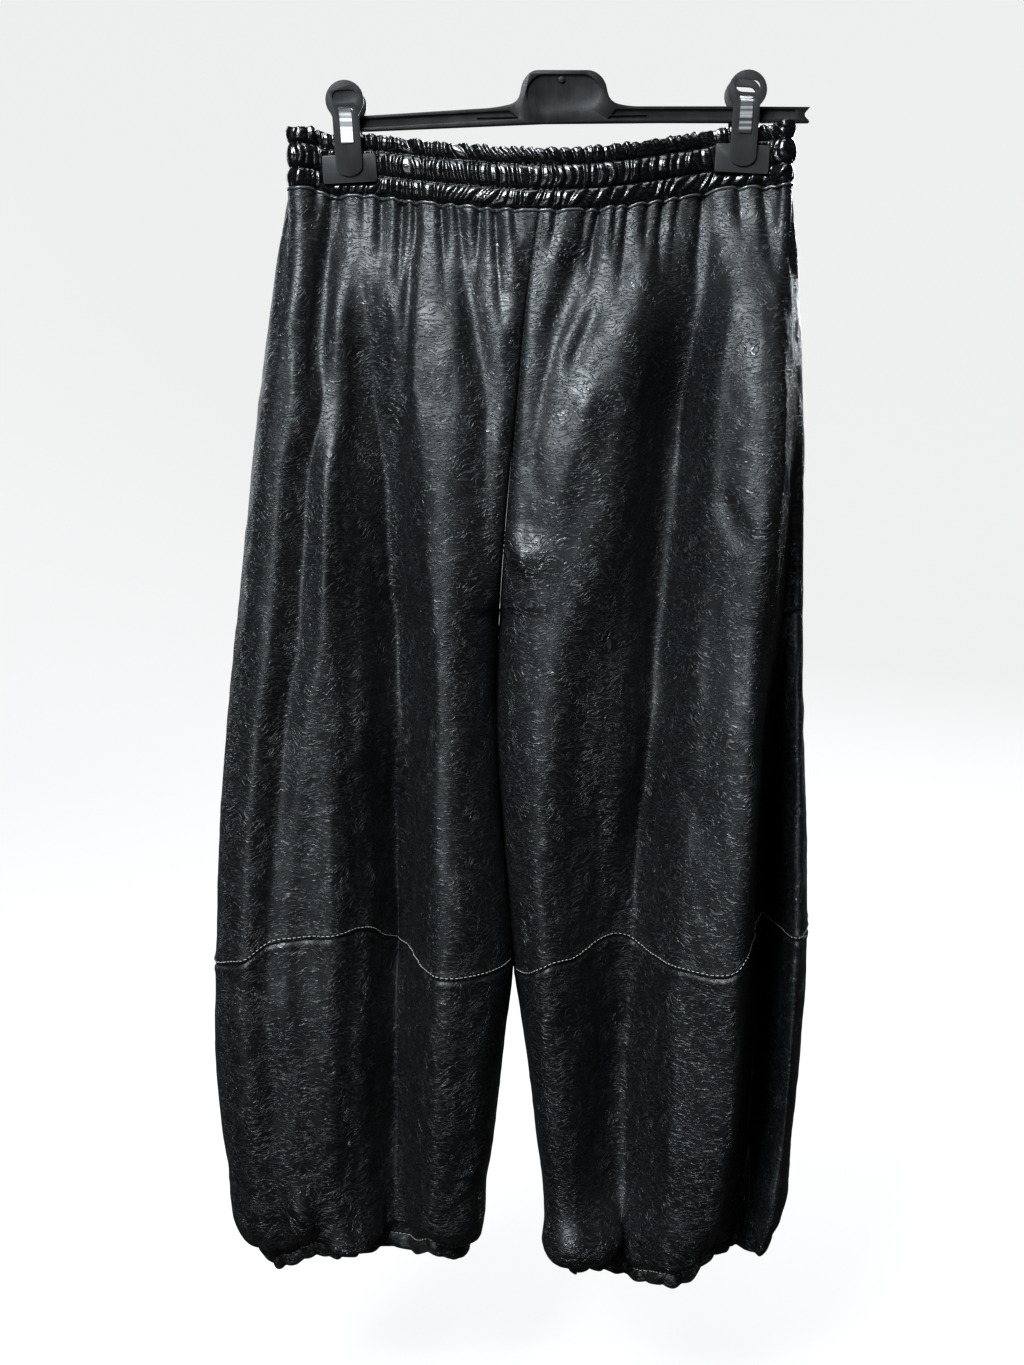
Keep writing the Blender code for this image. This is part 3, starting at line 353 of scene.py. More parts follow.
# ---- the waistband's plan
def band_half(x):
    """Half the distance between the band's front and back at x."""
    low, high = BAND_ENDS
    start = CLIP_X["right"] + CLIP_FLAT
    end = CLIP_X["left"] - CLIP_FLAT
    bow = np.sin(np.pi * np.clip((x - start) / (end - start), 0.0, 1.0)) ** 1.25
    left_loop = 1 - smoothstep(low + END_ROUND / 2, CLIP_X["right"] - CLIP_FLAT, x)
    right_loop = smoothstep(CLIP_X["left"] + CLIP_FLAT, high - END_ROUND / 2, x)
    half = BAND_HALF + BAND_BOW * bow + BAND_PUFF * np.maximum(left_loop, right_loop)
    from_end = np.minimum(x - low, high - x)
    return half * rounding(from_end / END_ROUND)


def seam_line(points, x):
    """The height at x of a seam or edge given as points."""
    return read_along([point.x for point in points], [point.z for point in points], x)


def band_top(x):
    return seam_line(BAND_TOPS, x)


# ---- the legs
def column(leg, name, z):
    rows = LEGS[leg]
    return float(read_along([row.z for row in rows], [getattr(row, name) for row in rows], z))


def fold_push(leg, face, x, z):
    """How far the folds push the cloth into the leg at each x of one height."""
    outward = -1.0 if leg == "right" else 1.0
    push = np.zeros_like(x)
    for row in FOLDS[leg, face]:
        wander = soft_noise(np.array([z * 15, row.number * 3.7, 0.0]), 23)
        swell = soft_noise(np.array([z * 11, row.number * 2.3, 5.0]), 29)
        middle = read_along(STATIONS, row.x, z) + FOLD_WANDER * wander
        depth = read_along(STATIONS, row.depth, z) * (1 + FOLD_SWELL * swell)
        push += depth * bump((middle - x) * outward, row.outer, row.inner, row.sharp)
    return push


def inner_end(leg, face, z):
    """x and y of the panel's inner edge: the centre seam above the crotch, and the inseam below it."""
    turned = float(np.clip((TURN_START - z) / (TURN_START - CROTCH_Z), 0.0, 1.0))
    apart = LEG_GAP * turned / 2
    inner = column(leg, "inner", z) + (apart if leg == "left" else -apart)
    bottom = column(leg, "inner_y", z)
    if z < CROTCH_Z:
        return inner, bottom
    under = (1 - turned**2.6) ** (1 / 2.6)
    seam_y = float(read_along(SEAM_Z, SEAM_Y[face], z))
    return inner, bottom + (seam_y - bottom) * under


def face_line(leg, face, z, samples=700):
    """Dense points of the front or the back of one leg at one height, from the side to the inner edge."""
    share = (1 - np.cos(np.pi * np.arange(samples + 1) / samples)) / 2
    inner, inner_y = inner_end(leg, face, z)
    side = column(leg, "side", z)
    belly = column(leg, face + "_y", z)
    side_y = column(leg, "side_y", z)
    x = side + (inner - side) * share
    side_arch = rounding(share / SIDE_ROUND)
    inner_arch = rounding((1 - share) / INNER_ROUND)
    y = side_y + (belly - side_y) * side_arch + (inner_y - belly) * (1 - inner_arch)
    into = 1.0 if face == "front" else -1.0
    hold = smoothstep(0.0, 0.05, share) * smoothstep(0.0, 0.10, 1 - share)
    push = fold_push(leg, face, x, z) * hold
    loose = smoothstep(0.0, 0.11, WAIST_SEAM_Z - z)
    flat = -into * band_half(x)
    lift = seam_line(CALF_LINES[leg, face], x) - CALF_Z
    drop = seam_line(HEM_LINES[leg, face], x) - HEM_Z[leg]
    return x, flat + (y + into * push - flat) * loose, lift, drop


def cut_at_side(leg, z):
    """The leg's line cut at its side seam, as the front part and the back part, both from the side seam."""
    front = np.array(face_line(leg, "front", z))
    back = np.array(face_line(leg, "back", z))
    inward = max(column(leg, "seam_in", z), 0.0)
    reach = np.abs(front[0] - front[0, 0])
    cut = int(np.searchsorted(reach, inward, side="right"))
    seam = np.array([np.interp(inward, reach, values) for values in front])[:, None]
    ahead = np.concatenate([seam, front[:, cut:]], axis=1)
    behind = np.concatenate([seam, front[:, :cut][:, ::-1], back[:, 1:]], axis=1)
    return ahead, behind if inward > 0 else back


def evenly(line):
    """COLUMNS + 1 points in even steps along a line, with wider steps on the wall between the legs."""
    x, y = line[0], line[1]
    share = np.abs(x - x[0]) / abs(x[-1] - x[0])
    weight = 1 - WALL_SHORT * smoothstep(1 - INNER_ROUND, 1.0, (share[1:] + share[:-1]) / 2)
    length = summed(np.hypot(np.diff(x), np.diff(y) * weight))
    at = np.linspace(0.0, length[-1], COLUMNS + 1)
    return [np.interp(at, length, values) for values in line]


def final_z(leg, z, x, lift, drop):
    """The row's real height: the waist sags, and the calf seam and the hem are uneven."""
    seam = band_top(x) - WAIST_DROP - WAIST_GAP
    sag = (seam - WAIST_SEAM_Z) * (1 - smoothstep(0.0, 0.30, WAIST_SEAM_Z - z))
    to_calf = smoothstep(0.0, LIFT_START - CALF_Z, LIFT_START - z)
    to_hem = smoothstep(0.0, CALF_Z - HEM_Z[leg], CALF_Z - z)
    return z + sag + lift * to_calf * (1 - to_hem) + drop * to_hem


def steps(start, end, step):
    """Heights from start to end, about step apart."""
    return np.linspace(start, end, max(2, round(abs(end - start) / step) + 1))


NEAR_CALF = np.array([0.0, 0.0005, 0.0012, 0.0022, 0.0035, 0.005, 0.0075, 0.010])


def leg_rows(leg):
    """The nominal heights of the leg's rows, waist to hem, and the first row of the lower panels."""
    hem = HEM_Z[leg]
    upper = np.concatenate([
        WAIST_SEAM_Z - np.array([0.0, 0.0003, 0.0007, 0.0012, 0.0019, 0.0028]),
        steps(WAIST_SEAM_Z - 0.004, -0.150, 0.0020),
        steps(-0.153, CROTCH_Z, 0.0036),
        steps(CROTCH_Z - 0.0036, CALF_Z + 0.012, 0.0040),
        CALF_Z + NEAR_CALF[::-1],
    ])
    lower = np.concatenate([
        CALF_Z - NEAR_CALF,
        steps(CALF_Z - 0.013, hem + 0.060, 0.0038),
        steps(hem + 0.057, hem + 0.015, 0.0022),
        hem + HEM_DEPTH + np.array([0.0018, 0.001, 0.0004, 0.0, -0.0004, -0.001, -0.0018]),
        hem + np.array([0.0085, 0.007, 0.0055, 0.004, 0.0028, 0.0018, 0.001, 0.0004, 0.0]),
    ])
    return np.concatenate([upper, lower]), len(upper)


def leg_grid(leg, face, heights):
    """Outer points of one face of a leg, a row for each height, from the side seam to the inner edge."""
    grid = []
    for z in heights:
        x, y, lift, drop = evenly(cut_at_side(leg, z)[face == "back"])
        grid.append(np.stack([x, y, final_z(leg, z, x, lift, drop)], axis=1))
    return np.array(grid)


def grid_normals(leg, front, back, heights):
    """Outward directions of both faces of a leg, equal on both sides of every seam."""
    whole = np.concatenate([front[:, ::-1], back], axis=1)
    across = np.empty_like(whole)
    across[:, 1:-1] = whole[:, 2:] - whole[:, :-2]
    seam = front.shape[1]
    over_seam = whole[:, seam + 1] - whole[:, seam - 2]
    across[:, seam - 1] = over_seam
    across[:, seam] = over_seam
    wrap = whole[:, 1] - whole[:, -2]
    across[:, 0] = wrap
    across[:, -1] = wrap
    down = np.gradient(whole, axis=0)
    normal = np.cross(down, across) * (1.0 if leg == "left" else -1.0)
    inner = -1.0 if leg == "left" else 1.0
    above = heights > CROTCH_Z + 1e-6
    turned = np.clip((TURN_START - heights) / (TURN_START - CROTCH_Z), 0.0, 1.0)[above] ** 3
    normal[above, 0] = np.stack([0 * turned, turned - 1.0, -turned], axis=1)
    normal[above, -1] = np.stack([0 * turned, 1.0 - turned, -turned], axis=1)
    crotch = np.abs(heights - CROTCH_Z) < 1e-6
    normal[crotch, 0] = normal[crotch, -1] = (inner, 0.0, -1.0)
    normal /= np.linalg.norm(normal, axis=2)[:, :, None]
    return normal[:, :seam][:, ::-1], normal[:, seam:]


def crease(u):
    """A valley of depth 1 at 0 with a fairly sharp bottom, out at -1 and 1."""
    return np.clip(1 - np.abs(u), 0.0, 1.0) ** 1.7


def gather_depth(table, face, x, along):
    """How far one table's creases push in. along is the way from their seam, down or up."""
    total = np.zeros_like(x)
    for row in table[face]:
        share = along / row.length
        middle = row.x + row.drift * share
        wide = row.wide * (1 + GATHER_SPREAD * share)
        off = (x - middle) / wide
        off = np.where(off > 0, off / GATHER_SKEW, off)
        total += GATHER_DEPTH * row.depth * crease(off) * (1 - smoothstep(0.10, 1.0, share))
    return total


def slant_depth(face, x, z):
    """How far the slanting creases push in at each point."""
    total = np.zeros_like(x)
    for row in SLANTS[face]:
        run = np.array([row.x1 - row.x0, row.z1 - row.z0])
        length = np.hypot(*run)
        along = ((x - row.x0) * run[0] + (z - row.z0) * run[1]) / length
        off = ((x - row.x0) * run[1] - (z - row.z0) * run[0]) / length
        hold = smoothstep(0.0, 0.35, along / length) * (1 - smoothstep(0.6, 1.0, along / length))
        total += row.depth * hill(off, row.wide) * hold
    return total


def hill(off, wide):
    """A soft hill of height 1 at 0, mostly gone at twice wide."""
    return np.exp(-((off / wide) ** 2))


def away_from(row, x, z):
    """The squared way from a bulge's top, in its own widths."""
    return ((x - row.x) / row.wide) ** 2 + ((z - row.z) / row.tall) ** 2


def polish(face, x, z):
    """How much the cloth is rubbed shiny, from 0 to 1: most on the bulges."""
    rubbed = np.zeros_like(x)
    for row in BULGES[face]:
        rubbed += min(row.out / FULL_POLISH, 1.0) * np.exp(-0.8 * away_from(row, x, z))
    return np.clip(rubbed, 0.0, 1.0)


WAIST_PUFF = 0.0052
SLACK = 0.0015
RIPPLE = 0.0007
SEAM_GROOVE = 0.0009
STITCH_PULL = 0.0007
HEM_GROOVE = 0.0013
HEM_ROLL = 0.0014
HEM_PUFF = 0.0085
HEM_CORNER = 0.0018


def noise_along(x, scale, level, seed):
    """Smooth noise from -1 to 1 that changes only along x."""
    return soft_noise(np.stack([x * scale, 0 * x, 0 * x + level], axis=-1), seed)


def detail(leg, face, grid, heights):
    """How far each point stands out from the smooth fold: gathers, creases, seams and slack."""
    x, z = grid[..., 0], grid[..., 2]
    rows = heights[:, None]
    step = np.linalg.norm(np.diff(grid, axis=1), axis=2)
    from_side = np.concatenate([np.zeros((len(grid), 1)), np.cumsum(step, axis=1)], axis=1)
    edge = np.minimum(from_side, from_side[:, -1:] - from_side)
    down = WAIST_SEAM_Z - rows
    up = rows - HEM_Z[leg]
    from_calf = np.abs(rows - CALF_Z)
    creases = gather_depth(WAIST_GATHERS, face, x, down)
    creases += HEM_PUCKER * gather_depth(HEM_GATHERS, face, x, np.maximum(up, 0.0))
    creases += slant_depth(face, x, z)
    out = -creases * smoothstep(0.0, 0.010, edge)
    # the cloth puffs out under the waistband
    full = 0.75 + 0.5 * noise_along(x, 45, 4, 17)
    out += WAIST_PUFF * full * rounding(down / WAIST_PUFF) * (1 - smoothstep(0.006, 0.110, down))
    # slack, small dents and ripples, from wide to fine
    loose = smoothstep(0.0, 0.020, down) * smoothstep(0.0, 0.014, edge)
    out += loose * SLACK * soft_noise(grid * (26.0, 26.0, 7.0), 3)
    out += loose * SLACK * 0.4 * soft_noise(grid * (60.0, 60.0, 22.0), 5)
    dent = np.abs(soft_noise(grid * (110.0, 110.0, 60.0), 7))
    out -= RIPPLE * dent * smoothstep(0.0, 0.010, down)
    ripple = soft_noise(grid * (75.0, 75.0, 30.0) + soft_noise(grid * 20.0, 13)[..., None], 9)
    out += RIPPLE * ripple * loose
    # the seams lie in small grooves, with the pull of the topstitching above and below the calf seam
    pucker = 1 + 0.8 * soft_noise(grid * (120.0, 120.0, 120.0), 11)
    out -= SEAM_GROOVE * np.maximum(hill(edge, 0.0022), hill(from_calf, 0.0016))
    out += STITCH_PULL * pucker * hill(from_calf - 0.0042, 0.0030)
    # the hem: its stitched groove, its turned roll and the puffed cloth over it
    out -= HEM_GROOVE * hill(up - HEM_DEPTH, 0.0016)
    out += HEM_ROLL * smoothstep(0.0, 0.004, up) * (1 - smoothstep(HEM_DEPTH - 0.004, HEM_DEPTH, up))
    puff = 0.7 + 0.6 * noise_along(x, 22, 8, 19)
    out += HEM_PUFF * puff * smoothstep(HEM_DEPTH, HEM_DEPTH + 0.014, up) * (1 - smoothstep(0.022, 0.085, up))
    for row in BULGES[face]:
        out += row.out * np.exp(-away_from(row, x, z)) * smoothstep(0.0, BULGE_HOLD, edge)
    out -= HEM_GROOVE * (1 - rounding(up / HEM_CORNER))
    return out


def wall_thickness(leg, heights):
    """The cloth's wall, thicker in the turned hem and rounded off at its bottom edge."""
    up = heights - HEM_Z[leg]
    hem = CLOTH + (HEM_THICK - CLOTH) * (1 - smoothstep(HEM_DEPTH - 0.001, HEM_DEPTH + 0.0005, up))
    return hem - CLOTH * (1 - rounding(up / HEM_CORNER))


# ---- meshes
def new_object(name, data):
    """A mesh, lamp or camera placed in the scene."""
    obj = bpy.data.objects.new(name, data)
    bpy.context.scene.collection.objects.link(obj)
    return obj


def mesh_object(name, vertices, faces, smooth=True):
    data = bpy.data.meshes.new(name)
    if isinstance(faces, np.ndarray):
        faces = faces.tolist()
    data.from_pydata(np.asarray(vertices).tolist(), [], faces)
    data.update()
    if smooth:
        data.shade_smooth()
    return new_object(name, data)


def shell_object(name, outer, inner):
    """A closed wall between two grids of points of the same shape."""
    rows, columns = outer.shape[:2]
    count = rows * columns
    index = np.arange(count).reshape(rows, columns)
    quads = np.stack([index[:-1, :-1], index[1:, :-1], index[1:, 1:], index[:-1, 1:]], axis=-1)
    quads = quads.reshape(-1, 4)
    loop = np.concatenate([index[0, :], index[1:, -1], index[-1, -2::-1], index[-2:0:-1, 0]])
    after = np.roll(loop, -1)
    rim = np.stack([loop, after, after + count, loop + count], axis=1)
    faces = np.concatenate([quads, quads[:, ::-1] + count, rim])
    points = np.concatenate([outer.reshape(-1, 3), inner.reshape(-1, 3)])
    middle = outer[rows // 2, columns // 2]
    a, b = outer[rows // 2 + 1, columns // 2] - middle, outer[rows // 2, columns // 2 + 1] - middle
    if np.dot(np.cross(a, b), middle - inner[rows // 2, columns // 2]) < 0:
        faces = faces[:, ::-1]
    return mesh_object(name, points, faces)


# ---- build the legs
panels = {}
surfaces = {}


def build_leg(leg):
    """The four panels of one leg, each with its share of polish stored at its points."""
    heights, first_lower = leg_rows(leg)
    faces = {face: leg_grid(leg, face, heights) for face in ("front", "back")}
    normals = dict(zip(faces, grid_normals(leg, faces["front"], faces["back"], heights)))
    down = (WAIST_SEAM_Z - heights)[:, None]
    for face in faces:
        out = detail(leg, face, faces[face], heights)
        pinch = gather_depth(WAIST_GATHERS, face, faces[face][..., 0], down)
        pinch *= 1 - smoothstep(0.0, 0.014, down)
        faces[face] = faces[face] + normals[face] * out[..., None]
        faces[face][..., 2] -= PINCH_DROP * pinch
    normals = dict(zip(faces, grid_normals(leg, faces["front"], faces["back"], heights)))
    thick = wall_thickness(leg, heights)[:, None, None]
    for face in faces:
        outer = faces[face]
        inner = outer - normals[face] * thick
        surfaces[leg, face] = (heights, outer, normals[face])
        for level, rows in (("upper", slice(0, first_lower)), ("lower", slice(first_lower, None))):
            name = f"{face}_{level}_{leg}"
            panel = shell_object(f"{name}_panel", outer[rows], inner[rows])
            rubbed = polish(face, outer[rows][..., 0], outer[rows][..., 2]).ravel()
            shine = panel.data.attributes.new("polish", "FLOAT", "POINT")
            shine.data.foreach_set("value", np.concatenate([rubbed, rubbed]))
            panels[name] = panel


for leg in LEGS:
    build_leg(leg)

# ---- the shirred waistband
# Each puffed row lies between top and bottom under the band's top edge. lobes is how wide its pleats are,
# lobe_out how far they stand out, and slope how they lean.
BandRow = namedtuple("BandRow", "top bottom puff lobes lobe_out slope seed")
BAND_ROWS = (
    BandRow(0.0000, 0.0125, 0.0012, (0.0050, 0.0120), 0.0036, 0.55, 21),
    BandRow(0.0125, 0.0320, 0.0024, (0.0042, 0.0100), 0.0042, 0.10, 22),
    BandRow(0.0320, 0.0470, 0.0016, (0.0050, 0.0120), 0.0036, -0.60, 23),
)
GROOVE = -0.0012
BAND_STEP = 0.00065
BAND_HEM = 0.005
BAR_HALF = 0.004
JAW_Z = {"right": -0.0785, "left": -0.0705}


def band_line():
    """The band's middle line once round in even steps, as x, y and outward direction."""
    low, high = BAND_ENDS
    turn = np.pi * np.arange(1, 4000) / 4000
    across = (low + high) / 2 - (high - low) / 2 * np.cos(turn)
    x = np.concatenate([[low], across, [high], across[::-1], [low]])
    y = np.concatenate([[0.0], -band_half(across), [0.0], band_half(across[::-1]), [0.0]])
    length = summed(np.hypot(np.diff(x), np.diff(y)))
    count = round(length[-1] / BAND_STEP)
    at = np.arange(count) * length[-1] / count
    x, y = np.interp(at, length, x), np.interp(at, length, y)
    ahead = np.stack([np.roll(x, -2) - np.roll(x, 2), np.roll(y, -2) - np.roll(y, 2)], axis=1)
    ahead /= np.linalg.norm(ahead, axis=1)[:, None]
    return x, y, ahead[:, 1], -ahead[:, 0], at, length[-1]


def lobes(along, total, widths, seed):
    """Rounded pleats of uneven width between pinched valleys, from 0 to about 1."""
    rng = np.random.default_rng(seed)
    edges = [0.0]
    while edges[-1] < total:
        edges.append(edges[-1] + rng.uniform(*widths))
    edges = np.array(edges) * total / edges[-1]
    height = rng.uniform(0.35, 1.0, len(edges))
    lean = rng.uniform(0.25, 0.75, len(edges))
    along = np.mod(along, total)
    k = np.clip(np.searchsorted(edges, along, side="right") - 1, 0, len(edges) - 2)
    t = (along - edges[k]) / (edges[k + 1] - edges[k])
    t = np.where(t < lean[k], 0.5 * t / lean[k], 0.5 + 0.5 * (t - lean[k]) / (1 - lean[k]))
    return height[k] * (4 * t * (1 - t)) ** 0.85


def under_jaw(x, z):
    """1 where a clip's jaw holds the band flat, 0 a few millimetres off it."""
    held = np.zeros_like(x)
    for side, jaw_z in JAW_Z.items():
        across = 1 - smoothstep(0.0200, 0.0260, np.abs(x - CLIP_X[side]))
        held = np.maximum(held, across * (1 - smoothstep(0.0100, 0.0140, np.abs(z - jaw_z))))
    return held


def build_band():
    """The band as one closed ring: three pleated rows outside, the same rows inside, and a tucked edge."""
    x, y, out_x, out_y, along, total = band_line()
    top = band_top(x)
    rings = []
    for side, fine in ((1.0, 12), (-1.0, 6)):
        made = []
        for row in BAND_ROWS:
            tall = row.bottom - row.top
            places = (1 - np.cos(np.pi * (np.arange(fine) + 0.5) / fine)) / 2
            for t in places:
                down = row.top + tall * t
                swell = rounding(min(t, 1 - t) * 2, 2.0)
                frilled = (1 - t) * (row.top == 0.0)
                wave = np.stack([along * 70, 0 * along + down * 90, 0 * along], axis=1)
                slope = row.slope * (0.7 + 0.6 * noise_along(along, 40, 0, 31))
                slanted = along + side * 0.0036 * soft_noise(wave, row.seed) - slope * tall * (t - 0.5)
                place = slanted + (0.0 if side > 0 else 0.31)
                pleats = 0.88 * lobes(place, total, row.lobes, row.seed)
                pleats = pleats + 0.12 * lobes(place, total, (0.0022, 0.0050), row.seed + 7)
                swell = max(swell, 0.55 * frilled)
                free = 1 - 0.72 * under_jaw(x, top - down)
                out = row.puff * swell + row.lobe_out * pleats * swell**0.8 * (1 + 0.5 * frilled)
                out = side * (GROOVE + 0.0016 + out * free)
                lift = 0.0034 * (pleats - 0.5) * frilled**2
                made.append(np.stack([x + out_x * out, y + out_y * out, top - down + lift], axis=1))
        tucked = side * (GROOVE + 0.0002)
        made.append(np.stack([x + out_x * tucked, y + out_y * tucked, top - WAIST_DROP - BAND_HEM], axis=1))
        rings += made if side > 0 else made[::-1]
    points = np.array(rings)
    count, around = points.shape[:2]
    index = np.arange(count * around).reshape(count, around)
    below, after = np.roll(index, -1, axis=0), np.roll(index, -1, axis=1)
    corner = np.roll(below, -1, axis=1)
    faces = np.stack([index, below, corner, after], axis=-1).reshape(-1, 4)
    return mesh_object("waistband_shirred", points.reshape(-1, 3), faces)


panels["waistband"] = build_band()

# ---- stitches and the rolled top edge
STITCH = 0.0030
STITCH_GAP = 0.0013
STITCH_LIFT = 0.0002
EDGE_ROLL = 0.0012  # the roll's half thickness
EDGE_ROW = 4  # the panel's row that the roll follows
CENTRE_OFFSET = 0.0045  # of the dark stitches from the centre seam


def stitched(name, points, normals, wide):
    """Small rounded stitches laid end to end along a line on the cloth, as one object."""
    length = summed(np.linalg.norm(np.diff(points, axis=0), axis=1))
    count = int(length[-1] // (STITCH + STITCH_GAP))
    start = np.arange(count) * (STITCH + STITCH_GAP) + STITCH_GAP / 2
    at = start[:, None] + STITCH * np.array([0.0, 0.12, 0.5, 0.88, 1.0])
    size = wide / 2 * np.array([0.25, 0.8, 1.0, 0.8, 0.25])[:, None]
    height = STITCH_LIFT + wide / 2 * np.array([-0.5, 0.35, 0.75, 0.35, -0.5])[:, None]
    middle, normal = (np.stack([np.interp(at, length, line[:, k]) for k in range(3)], axis=-1)
                      for line in (points, normals))
    normal /= np.linalg.norm(normal, axis=-1)[..., None]
    ahead = middle[:, -1:] - middle[:, :1]
    side = np.cross(normal, ahead / np.linalg.norm(ahead, axis=-1)[..., None])
    turn = 2 * np.pi * np.arange(6) / 6
    rise, reach = height + size * np.sin(turn), size * np.cos(turn)
    vertices = middle[:, :, None] + normal[:, :, None] * rise[..., None] + side[:, :, None] * reach[..., None]
    index = np.arange(vertices[..., 0].size).reshape(vertices.shape[:3])
    after = np.roll(index, -1, axis=2)
    quads = np.stack([index[:, :-1], after[:, :-1], after[:, 1:], index[:, 1:]], axis=-1).reshape(-1, 4)
    caps = np.concatenate([index[:, 0, ::-1], index[:, -1]])
    return mesh_object(name, vertices.reshape(-1, 3), quads.tolist() + caps.tolist())


def at_height(leg, face, z):
    """The points and outward directions of a panel's row at one height, short of its ends."""
    heights, outer, normals = surfaces[leg, face]
    row = int(np.argmin(np.abs(heights - z)))
    return outer[row][2:-2], normals[row][2:-2]


def rolled_edge(leg, face):
    """The thin roll that the panel's top edge makes over its seam with the waistband."""
    outer, outward = (grid[EDGE_ROW] for grid in surfaces[leg, face][1:])
    around = 8
    middle = outer + outward * (EDGE_ROLL * 0.6)
    turn = 2 * np.pi * np.arange(around) / around
    up = np.array([0.0, 0.0, 1.0])
    ring = outward[:, None] * np.sin(turn)[None, :, None] + up * np.cos(turn)[None, :, None]
    points = (middle[:, None] + EDGE_ROLL * ring).reshape(-1, 3)
    index = np.arange(len(points)).reshape(-1, around)
    after = np.roll(index, -1, axis=1)
    faces = np.stack([index[:-1], after[:-1], after[1:], index[1:]], axis=-1).reshape(-1, 4).tolist()
    faces += [index[0, ::-1].tolist(), index[-1].tolist()]
    roll = mesh_object(f"{face}_{leg}_rolled_edge", points, faces)
    mesh = bmesh.new()
    mesh.from_mesh(roll.data)
    bmesh.ops.recalc_face_normals(mesh, faces=mesh.faces)
    mesh.to_mesh(roll.data)
    mesh.free()
    return roll


edges = {f"{face}_upper_{leg}": rolled_edge(leg, face) for leg in LEGS for face in ("front", "back")}
threads = {}
for leg in LEGS:
    for face in ("front", "back"):
        calf_line = at_height(leg, face, CALF_Z + 0.0035)
        hem_line = at_height(leg, face, HEM_Z[leg] + HEM_DEPTH)
        threads[f"{face}_upper_{leg}"] = stitched(f"{face}_{leg}_calf_stitches", *calf_line, 0.00065)
        threads[f"{face}_lower_{leg}"] = stitched(f"{face}_{leg}_hem_stitches", *hem_line, 0.0006)


def centre_stitches(face):
    """The dark topstitching beside the centre seam, on the wearer's left panel."""
    heights, outer, normals = surfaces["left", face]
    rows = (heights < WAIST_SEAM_Z - 0.003) & (heights > TURN_START - 0.150)
    points, outward = [], []
    for line, normal in zip(outer[rows], normals[rows]):
        away = summed(np.linalg.norm(np.diff(line[::-1], axis=0), axis=1))
        points.append([np.interp(CENTRE_OFFSET, away, line[::-1, k]) for k in range(3)])
        outward.append([np.interp(CENTRE_OFFSET, away, normal[::-1, k]) for k in range(3)])
    return stitched(f"centre_{face}_stitches", np.array(points), np.array(outward), 0.0007)


centre = {face: centre_stitches(face) for face in ("front", "back")}


# ---- materials
class Nodes:
    """A short way to add and join shader nodes."""

    def __init__(self, name):
        self.material = bpy.data.materials.new(name)
        self.material.use_nodes = True
        self.tree = self.material.node_tree
        self.shader = self.tree.nodes["Principled BSDF"]

    def add(self, kind, values=(), **settings):
        node = self.tree.nodes.new(kind)
        for key, value in settings.items():
            setattr(node, key, value)
        for key, value in dict(values).items():
            self.put(node, key, value)
        return node

    def put(self, node, key, value):
        if isinstance(value, bpy.types.NodeSocket):
            self.tree.links.new(value, node.inputs[key])
        else:
            node.inputs[key].default_value = value

    def set(self, name, value):
        self.put(self.shader, name, value)

    def ramp(self, value, stops):
        node = self.add("ShaderNodeValToRGB", {0: value})
        elements = node.color_ramp.elements
        while len(elements) < len(stops):
            elements.new(0.5)
        for element, (place, colour) in zip(elements, stops):
            element.position = place
            element.color = (*colour, 1.0)
        return node.outputs[0]

    def maths(self, kind, a, b=0.0):
        return self.add("ShaderNodeMath", {0: a, 1: b}, operation=kind).outputs[0]

    def blend(self, a, share_a, b, share_b):
        """a times share_a plus b times share_b."""
        return self.maths("ADD", self.maths("MULTIPLY", a, share_a), self.maths("MULTIPLY", b, share_b))

    def place(self):
        return self.add("ShaderNodeTexCoord").outputs["Object"]

    def stretched(self, place, scale, turn=0.0):
        values = {"Vector": place, "Rotation": (0.0, turn, 0.0), "Scale": scale}
        return self.add("ShaderNodeMapping", values).outputs[0]

    def noise(self, place, scale, detail, rough=0.5, output="Fac"):
        values = {"Vector": place, "Scale": scale, "Detail": detail, "Roughness": rough}
        return self.add("ShaderNodeTexNoise", values).outputs[output]

    def remap(self, value, low, high, start, end, kind="LINEAR"):
        values = {0: value, 1: low, 2: high, 3: start, 4: end}
        return self.add("ShaderNodeMapRange", values, interpolation_type=kind).outputs[0]

    def bump(self, height):
        values = {"Height": height, "Strength": 1.0, "Distance": 1.0}
        self.set("Normal", self.add("ShaderNodeBump", values).outputs[0])


STROKE_WIDTH = 0.055  # of a crinkle stroke, in units of its noise
STROKE_HEIGHT = 0.00050
PEBBLE_HEIGHT = 0.00006


def grey(level):
    return (level, level, level)


def cool(level):
    """A slightly bluish grey."""
    return (0.84 * level, 0.94 * level, level)


